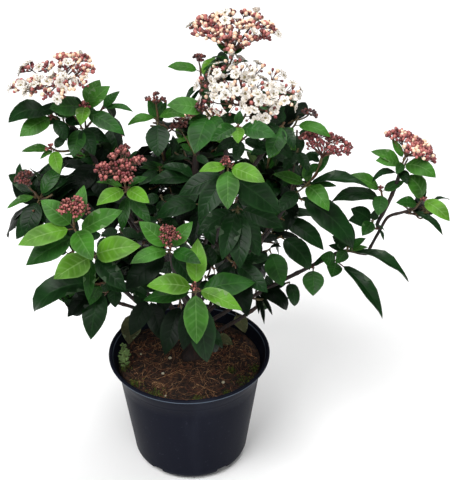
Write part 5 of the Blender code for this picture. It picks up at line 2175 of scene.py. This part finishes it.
    def item(self, head: FlowerHead, place: Array, tilt: Array, knot: Array) -> None:
        """Deals one flower or bud, and its own stalk.

        Args:
            head: Its head.
            place: Where its top is.
            tilt: Where it looks.
            knot: Where its ray ends.
        """
        weights = dict(head.mix)
        if OPEN in weights:
            lead = float((place - np.array(head.centre)) @ PICTURE.world(head.open_side)) / head.radius
            weights[OPEN] = max(self.least_open, weights[OPEN] + lead)
        chances = np.array(list(weights.values()))
        stage = list(weights)[int(self.random.choice(len(weights), p=chances / chances.sum()))]
        length = stage.value[1] * head.bud_size * self.random.uniform(*self.size_play)
        if stage is OPEN:
            length *= 1.0 / head.bud_size
            kind = int(self.random.choice(len(self.cups), p=self.cup_shares))
            foot = place - tilt * length * 0.2
        else:
            kind = int(self.random.integers(2))
            foot = place - tilt * length
        self.dealers[stage].deal(foot, tilt, unit(self.random.normal(0, 1, 3)), length, kind)
        line = hermite(knot, tilt * 2.5, foot + tilt * length * 0.05, tilt * 4.0, 3)
        self.rays.add(line, np.full(len(line), self.stalk_radius * (0.7 + 0.3 * head.bud_size)))

    def build(self) -> None:
        """Grows every head and hands over the pieces of blossom."""
        for head in FLOWER_HEADS:
            self.grow(head)
        nodes = [head.node for head in FLOWER_HEADS if head.node in frame["nodes"]]
        calyx = PetalFinish("calyx_brown", (84, 48, 38), (58, 34, 28), 0.6, 0.0).material()
        heart = PetalFinish("flower_heart", (150, 136, 92), (96, 84, 54), 0.6, 0.0).material()
        for stage, dealer in self.dealers.items():
            piece = dealer.build(stage.value[0].material(), heart if stage is OPEN else calyx)
            hand_over(piece, nodes)
        ray = BarkFinish("ray_red_brown", (84, 46, 36), (104, 70, 44), 0.6, 0.1)
        hand_over(self.rays.build(ray.material()), nodes)
        LOG.info("flowers: %s", {stage.name: len(dealer.kinds) for stage, dealer in self.dealers.items()})


@dataclass
class Pot:
    """The moulded pot: a tapering body, a flared collar, a beaded rim, notches and drain holes."""

    height: float = 130.0
    rim_radius: float = 85.0
    collar: float = 21.0
    body_top: float = 75.0
    body_foot: float = 61.5
    foot_rounding: float = 12.0
    wall: float = 2.0
    bead: float = 2.0
    rim_inset: float = 1.4
    flare: float = 0.85
    sides: int = 120
    notches: int = 5
    notch: Triple = (30.0, 15.0, 19.0)
    notch_inner: float = 46.0
    hole_radius: float = 4.0
    hole_circle: float = 32.0

    def radius(self, height: float) -> float:
        """Gives the outer radius at a height.

        Args:
            height: The height above the pot's foot.

        Returns:
            The radius.
        """
        foot = self.height - self.collar
        if height < foot:
            share = (height - self.foot_rounding) / (foot - self.foot_rounding)
            return self.body_foot + (self.body_top - self.body_foot) * share
        share = (height - foot) / self.collar
        return self.body_top + (self.rim_radius - self.rim_inset - self.body_top) * share**self.flare

    def slope(self, start: float, end: float, count: int, inset: float = 0.0) -> list[Pair]:
        """Gives points of the wall between two heights, on its outside or set in from it."""
        return [(self.radius(height) - inset, height) for height in np.linspace(start, end, count)]

    def profile(self) -> list[Pair]:
        """Gives the wall's profile: the underside, up the outside, over the rim and down the inside.

        Returns:
            Radius and height of each point.
        """
        foot = self.height - self.collar
        centre = (self.body_foot - self.foot_rounding, self.foot_rounding)
        outside = [(0.0, 0.0), *arc(centre, self.foot_rounding, -90, 0, 8)]
        outside += self.slope(self.foot_rounding + 8, foot - 1.2, 9)
        outside += [(self.radius(foot) + 0.5, foot - 0.4), (self.radius(foot) + 0.8, foot + 0.6)]
        outside += self.slope(foot + 2.5, self.height - 2.4 * self.bead, 7)
        rim = arc((self.rim_radius - self.bead, self.height - self.bead), self.bead, -60, 150, 9)
        inside = self.slope(self.height - 2 * self.bead, foot + 1, 7, self.wall)
        inside += self.slope(foot - 1, self.foot_rounding, 6, self.wall)
        inner = self.foot_rounding - self.wall
        centre = (self.radius(self.foot_rounding) - self.wall - inner, self.foot_rounding)
        inside += arc(centre, inner, -15, -90, 4)
        return [*outside, *rim, *inside, (0.0, self.wall)]

    def cutter(self) -> Object:
        """Makes the solids that cut the notches and drain holes.

        Returns:
            One object with all the solids.
        """
        parts = MeshParts()
        for index in range(self.notches):
            around = math.radians(-90 + 360 / self.notches * (index + 0.5))
            turn = np.array(Matrix.Rotation(around, 3, "Z").transposed())
            long, wide, high = self.notch
            corners = np.array(list(product((0, long), (-wide / 2, wide / 2), (-high / 2, high / 2))))
            box = [(0, 1, 3, 2), (4, 6, 7, 5), (0, 4, 5, 1), (2, 3, 7, 6), (0, 2, 6, 4), (1, 5, 7, 3)]
            parts.add((corners + (self.notch_inner, 0, 0)) @ turn, box)
            half = around + math.pi / self.notches
            middle = np.array([math.cos(half), math.sin(half), 0.0]) * self.hole_circle
            profile = [(0.0, -6.0), (self.hole_radius, -6.0), (self.hole_radius, 6.0), (0.0, 6.0)]
            points, faces = revolved(profile, 24)
            parts.add(points + middle, faces)
        return add_object("pot_cutter", parts.mesh("pot_cutter", MM))

    def build(self, finish: PlasticFinish) -> Object:
        """Makes the pot.

        Args:
            finish: Its plastic.

        Returns:
            The finished piece.
        """
        parts = MeshParts()
        parts.add(*revolved(self.profile(), self.sides))
        pot = add_object("plastic_pot", parts.mesh("plastic_pot", MM))
        cutter = self.cutter()
        cut = pot.modifiers.new("Cut", "BOOLEAN")
        cut.solver = "EXACT"
        cut.object = cutter
        graph = bpy.context.evaluated_depsgraph_get()
        mesh = bpy.data.meshes.new_from_object(pot.evaluated_get(graph), depsgraph=graph)
        pot.modifiers.remove(cut)
        pot.data = mesh
        bpy.data.objects.remove(cutter)
        mesh.materials.clear()
        mesh.materials.append(finish.material())
        mesh.polygons.foreach_set("material_index", [0] * len(mesh.polygons))
        mesh.set_sharp_from_angle(angle=math.radians(32))
        hand_over(pot, ["pot"])
        return pot


@dataclass
class Compost:
    """The peat in the pot: uneven, with crumbs, fibres, grains, moss, seedlings and old leaves."""

    pot: Pot
    edge: float = 115.0
    crown: float = 119.0
    foot_height: float = 19.0
    foot_radius: float = 43.0
    gap: float = 0.9
    relief: float = 1.5
    rings: int = 26
    sides: int = 96
    crumbs: int = 1500
    fibres: int = 620
    fibre_spread: float = 0.93
    moss_density: int = 22
    seedling_count: int = 11
    reach_share: float = 0.97
    moss_tufts: tuple[Triple, ...] = (
        (60, -36, 12), (-34, -58, 12), (-70, -14, 8), (10, -66, 8), (70, -16, 7), (40, -56, 6), (-56, -40, 8),
        (44, -20, 5))
    grains: tuple[Pair, ...] = ((-20.5, -2), (-27, -26), (-52, 8), (-23, -59), (36, -40), (20, 44))
    straws: tuple[tuple[Pair, Pair], ...] = (
        ((-33, -35), (-7, -21)), ((54, 16), (72, 2)), ((8, -44), (30, -56)))
    seedling_spot: Pair = (-72.0, -10.0)
    old_leaves: tuple[tuple[Triple, Triple, Triple, float, float], ...] = (
        ((-60, 52, 141), (-0.13, -0.88, -0.42), (-0.1, -0.5, 0.85), 40, 1.35),
        ((49, 55, 137), (0.42, -0.75, -0.5), (0.2, -0.5, 0.8), 25, 1.45),
        ((27, 34, 122), (0.76, -0.65, 0.02), (0.0, -0.5, 0.85), 25, 1.2),
    )

    def __post_init__(self) -> None:
        """Works out the surface's radius."""
        self.random = np.random.default_rng(SEED + 2)
        self.radius = self.wall_radius(self.edge)

    def wall_radius(self, height: float) -> float:
        """Gives the radius that the pot leaves at a height."""
        return self.pot.radius(height) - self.pot.wall - self.gap

    def height(self, x: float, y: float) -> float:
        """Gives the surface's height at a place.

        Args:
            x: The place's x.
            y: The place's y.

        Returns:
            The height above the pot's foot.
        """
        share = min(1.0, math.hypot(x, y) / self.radius)
        rough = ripple(x / 16, y / 16, 0.0) * 0.8 + ripple(x / 5, y / 5, 7.0) * 0.6
        fine = ripple(x / 1.9, y / 1.9, 3.0) * 0.35
        settle = min(1.0, (1 - share) * 6 + 0.15)
        return self.crown - (self.crown - self.edge) * share**2 + self.relief * (rough + fine) * settle

    def on(self, x: float, y: float, rise: float = 0.0) -> Array:
        """Gives the point on the surface at a place, or above it."""
        return np.array([x, y, self.height(x, y) + rise])

    def beyond(self, x: float, y: float) -> bool:
        """Tells whether a place is too near the pot's wall."""
        return math.hypot(x, y) > self.radius * self.reach_share

    def spot(self, spread: float = 0.96) -> Pair:
        """Picks a place on the surface.

        Args:
            spread: Share of the surface's radius that it may use.

        Returns:
            Its x and y.
        """
        reach = self.radius * spread * math.sqrt(self.random.random())
        around = self.random.uniform(0, 2 * math.pi)
        return reach * math.cos(around), reach * math.sin(around)

    def ground(self) -> Object:
        """Makes the body of peat.

        Returns:
            The piece.
        """
        top = [(self.radius * k / self.rings, self.edge) for k in range(self.rings, -1, -1)]
        side = [(self.wall_radius(h), h) for h in (self.foot_height, 60.0, self.pot.height - self.pot.collar)]
        floor = self.pot.wall + 0.5
        points, faces = revolved([(0.0, floor), (self.foot_radius, floor), *side, *top], self.sides)
        for index, (x, y, z) in enumerate(points):
            if z == self.edge:
                points[index, 2] = self.height(x, y)
        parts = MeshParts()
        parts.add(points, faces)
        piece = add_object("peat_surface", parts.mesh("peat_surface", MM))
        piece.data.materials.append(EarthFinish("peat", (76, 48, 30), (18, 11, 8)).material())
        return piece

    def crumb(self, seed: int) -> MeshParts:
        """Makes one rough crumb, one unit across.

        Args:
            seed: Seed of its own random draws.

        Returns:
            The crumb.
        """
        points, faces = revolved([(0.0, -0.36), (0.34, -0.22), (0.47, 0.05), (0.3, 0.3), (0.0, 0.38)], 5)
        rough = np.random.default_rng(seed).uniform(0.72, 1.25, len(points))
        parts = MeshParts()
        parts.add(points * rough[:, None], faces)
        return parts

    def lying(self, count: int, lengths: Pair, thick: Pair, name: str) -> Strands:
        """Lays curved fibres on the surface.

        Args:
            count: How many.
            lengths: Shortest and longest.
            thick: Thinnest and thickest radius.
            name: The piece's name.

        Returns:
            The fibres.
        """
        strands = Strands(name, 4)
        for _ in range(count):
            x, y = self.spot(self.fibre_spread)
            if ripple(x / 14, y / 14, 11.0) < 0.02 and self.random.random() < 0.8:
                continue
            heading = self.random.uniform(0, 2 * math.pi)
            curl = self.random.normal(0, 0.22)
            step = self.random.uniform(*lengths) / 6
            lift = self.random.uniform(0.1, 1.5)
            line = []
            for k in range(7):
                line.append(self.on(x, y, 0.25 + lift * math.sin(math.pi * k / 6)))
                x, y = x + step * math.cos(heading), y + step * math.sin(heading)
                heading += curl + self.random.normal(0, 0.12)
                if self.beyond(x, y):
                    break
            if len(line) > 2:
                radius = self.random.uniform(*thick)
                strands.add(np.array(line), np.linspace(radius, radius * 0.5, len(line)))
        return strands

    def litter(self) -> list[Object]:
        """Strews crumbs, grains and moss over the peat.

        Returns:
            The pieces of crumbs, bark, grains and moss.
        """
        shapes = [self.crumb(seed) for seed in range(4)]
        crumbs, bark, grains = (Scatter(n, shapes) for n in ("peat_crumbs", "bark_crumbs", "white_grains"))
        for index in range(self.crumbs):
            x, y = self.spot()
            size = 1.1 + self.random.gamma(2.0, 0.55)
            target = bark if index % 6 == 0 else crumbs
            face, along = self.random.normal(0, 1, (2, 3))
            target.deal(self.on(x, y, size * 0.12), along, face, (size, size, size * 0.8), index % 4)
        for index, (x, y) in enumerate(self.grains):
            size = 3.5 + 0.8 * math.cos(index * 1.3)
            grains.deal(self.on(x, y, size * 0.3), self.random.normal(0, 1, 3), UP, size, index % 4)
        columns = (-1.0, 0.0, 1.0)
        sprig = Blade(0.3, stalk=0.0, droop=26, rows=3, columns=columns, under_finish=0, thickness=0.05)
        moss = Scatter("moss_tufts", [sprig.parts()])
        for x, y, spread in self.moss_tufts:
            for _ in range(int(spread * self.moss_density)):
                place = np.array([x, y]) + self.random.normal(0, spread * 0.42, 2)
                if self.beyond(*place):
                    continue
                way = unit(UP + self.random.normal(0, 0.5, 3))
                size = self.random.uniform(1.6, 3.4)
                moss.deal(self.on(*place), way, self.random.normal(0, 1, 3), size)
        return [
            crumbs.build(EarthFinish("peat_crumb", (62, 40, 28), (20, 12, 9)).material()),
            bark.build(EarthFinish("bark_crumb", (144, 98, 68), (84, 50, 34)).material()),
            grains.build(EarthFinish("white_grain", (226, 222, 200), (180, 172, 140), 400, 0.2).material()),
            moss.build(EarthFinish("moss", (112, 130, 46), (58, 74, 24), 300, 0.2).material()),
        ]

    def seedlings(self) -> list[Object]:
        """Grows a clump of round-leaved seedlings at the pot's edge, and drops the old leaves.

        Returns:
            The pieces of stems, leaves and old leaves.
        """
        stems = Strands("seedling_stems", 5)
        round_leaf = Blade(0.95, stalk=0.1, base_fullness=0.5, tip_fullness=0.45, droop=20, fold=6, rows=5)
        leaves = Scatter("seedling_leaves", [round_leaf.parts()])
        for _ in range(self.seedling_count):
            x, y = np.array(self.seedling_spot) + self.random.normal(0, 1, 2) * np.array([4.0, 9.0])
            shrink = min(1.0, self.radius * self.fibre_spread / math.hypot(x, y))
            foot = self.on(x * shrink, y * shrink)
            top = foot + np.array([*self.random.normal(0, 2, 2), self.random.uniform(8, 20)])
            stems.add(hermite(foot, UP * 9, top, UP * 6, 5), np.linspace(0.5, 0.35, 6))
            spin = self.random.uniform(0, math.pi)
            for tier in range(3):
                level = foot + (top - foot) * (1 - 0.24 * tier)
                for half in (0.0, math.pi):
                    angle = spin + tier * math.pi / 2 + half
                    way = np.array([math.cos(angle), math.sin(angle), 0.35])
                    leaves.deal(level, way, UP, self.random.uniform(3.2, 5.0) * (0.75 + 0.2 * tier))
        green = LeafFinish("seedling_leaf", (116, 146, 84), (158, 176, 126), 0.5, 0.2, 0.1)
        stem = BarkFinish("seedling_stem", (96, 104, 62), (120, 112, 70), 0.6, 0.05).material()
        old = LeafFinish("old_leaf", (76, 80, 52), (112, 106, 74), 0.6, 0.35, 0.5)
        fallen = Scatter("fallen_leaves", [Blade(droop=42, fold=16, wave=0.09).parts()])
        for place, way, face, size, wide in self.old_leaves:
            fallen.deal(np.array(place, float), np.array(way), np.array(face), (size * wide, size, size))
        return [
            stems.build(stem),
            leaves.build(green.material(), green.underside(), stem),
            fallen.build(old.material(), old.underside(), stem),
        ]

    def build(self) -> None:
        """Makes and hands over everything in the pot."""
        pale = self.lying(self.fibres, (8, 26), (0.14, 0.3), "pale_fibres")
        for start, end in self.straws:
            pale.add(np.array([self.on(x, y, 1.2) for x, y in np.linspace(start, end, 9)]), np.full(9, 0.42))
        dark = self.lying(self.fibres // 2, (6, 20), (0.2, 0.42), "brown_fibres")
        pieces = [
            self.ground(),
            pale.build(EarthFinish("pale_fibre", (196, 150, 106), (118, 76, 48), 300, 0.1).material()),
            dark.build(EarthFinish("brown_fibre", (120, 64, 44), (56, 30, 20), 300, 0.1).material()),
            *self.litter(),
            *self.seedlings(),
        ]
        for piece in pieces:
            hand_over(piece, ["compost"])


@dataclass
class Studio:
    """The pale floor, the soft lights and the camera."""

    floor_half: float = 6.0
    floor_tone: Tone = (250, 250, 250)
    sky: float = 0.2
    lights: tuple[tuple[str, Triple, float, float], ...] = (
        ("key_light", (-1.3, -1.8, 3.7), 2.6, 176.0),
        ("top_light", (0.9, 0.9, 4.0), 3.2, 112.0),
        ("front_light", (1.1, -4.0, 2.0), 2.6, 36.0),
    )
    aim: Triple = (0.03, 0.0, 0.26)

    def build(self) -> None:
        """Sets up the studio."""
        scene = bpy.context.scene
        scene.view_settings.view_transform = "Standard"
        scene.view_settings.look = "None"
        scene.view_settings.exposure = 0.0
        world = bpy.data.worlds.new("soft_white")
        world.use_nodes = True
        world.node_tree.nodes["Background"].inputs["Color"].default_value = (1.0, 1.0, 1.0, 1.0)
        world.node_tree.nodes["Background"].inputs["Strength"].default_value = self.sky
        scene.world = world
        half = self.floor_half
        mesh = bpy.data.meshes.new("floor")
        corners = [(-half, -half, 0), (half, -half, 0), (half, half, 0), (-half, half, 0)]
        mesh.from_pydata(corners, [], [(0, 1, 2, 3)])
        floor = add_object("floor", mesh)
        shader = Shader("pale_floor", 0.9)
        shader.colour(tone(self.floor_tone))
        mesh.materials.append(shader.material)
        for name, place, size, power in self.lights:
            lamp = bpy.data.lights.new(name, "AREA")
            lamp.shape = "DISK"
            lamp.size = size
            lamp.energy = power
            lit = bpy.data.objects.new(name, lamp)
            lit.location = place
            lit.rotation_euler = (Vector(self.aim) - Vector(place)).to_track_quat("-Z", "Y").to_euler()
            scene.collection.objects.link(lit)
        self.camera()

    def camera(self) -> None:
        """Puts the camera where the photograph's stood."""
        lens = bpy.data.cameras.new("camera")
        lens.sensor_fit = "VERTICAL"
        lens.sensor_height = 36.0
        lens.lens = PICTURE.focal_pixels / PICTURE.height * lens.sensor_height
        lens.clip_start = 0.05
        lens.clip_end = 50
        camera = bpy.data.objects.new("camera", lens)
        camera.location = np.array(PICTURE.eye) * MM
        camera.rotation_euler = (math.radians(90 - PICTURE.pitch), 0.0, 0.0)
        bpy.context.scene.collection.objects.link(camera)
        bpy.context.scene.camera = camera


def main() -> None:
    """Builds the plant and its pot in order."""
    logging.basicConfig(level=logging.INFO, format="%(name)s %(message)s")
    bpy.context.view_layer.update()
    Studio().build()
    pot = Pot()
    pot.build(PlasticFinish())
    Compost(pot).build()
    wood = Wood()
    wood.fit()
    wood.build(BarkFinish("bark", (27, 15, 11), (50, 29, 21), 0.75, 0.3))
    skeleton = Skeleton()
    for limb in wood.limbs:
        skeleton.take(limb.line, limb.radii)
    foliage = Foliage(Crown(), skeleton)
    foliage.grow_shown()
    foliage.fill()
    foliage.shade()
    Blossom(skeleton, foliage).build()
    foliage.build()


if __name__ == "__main__":
    main()
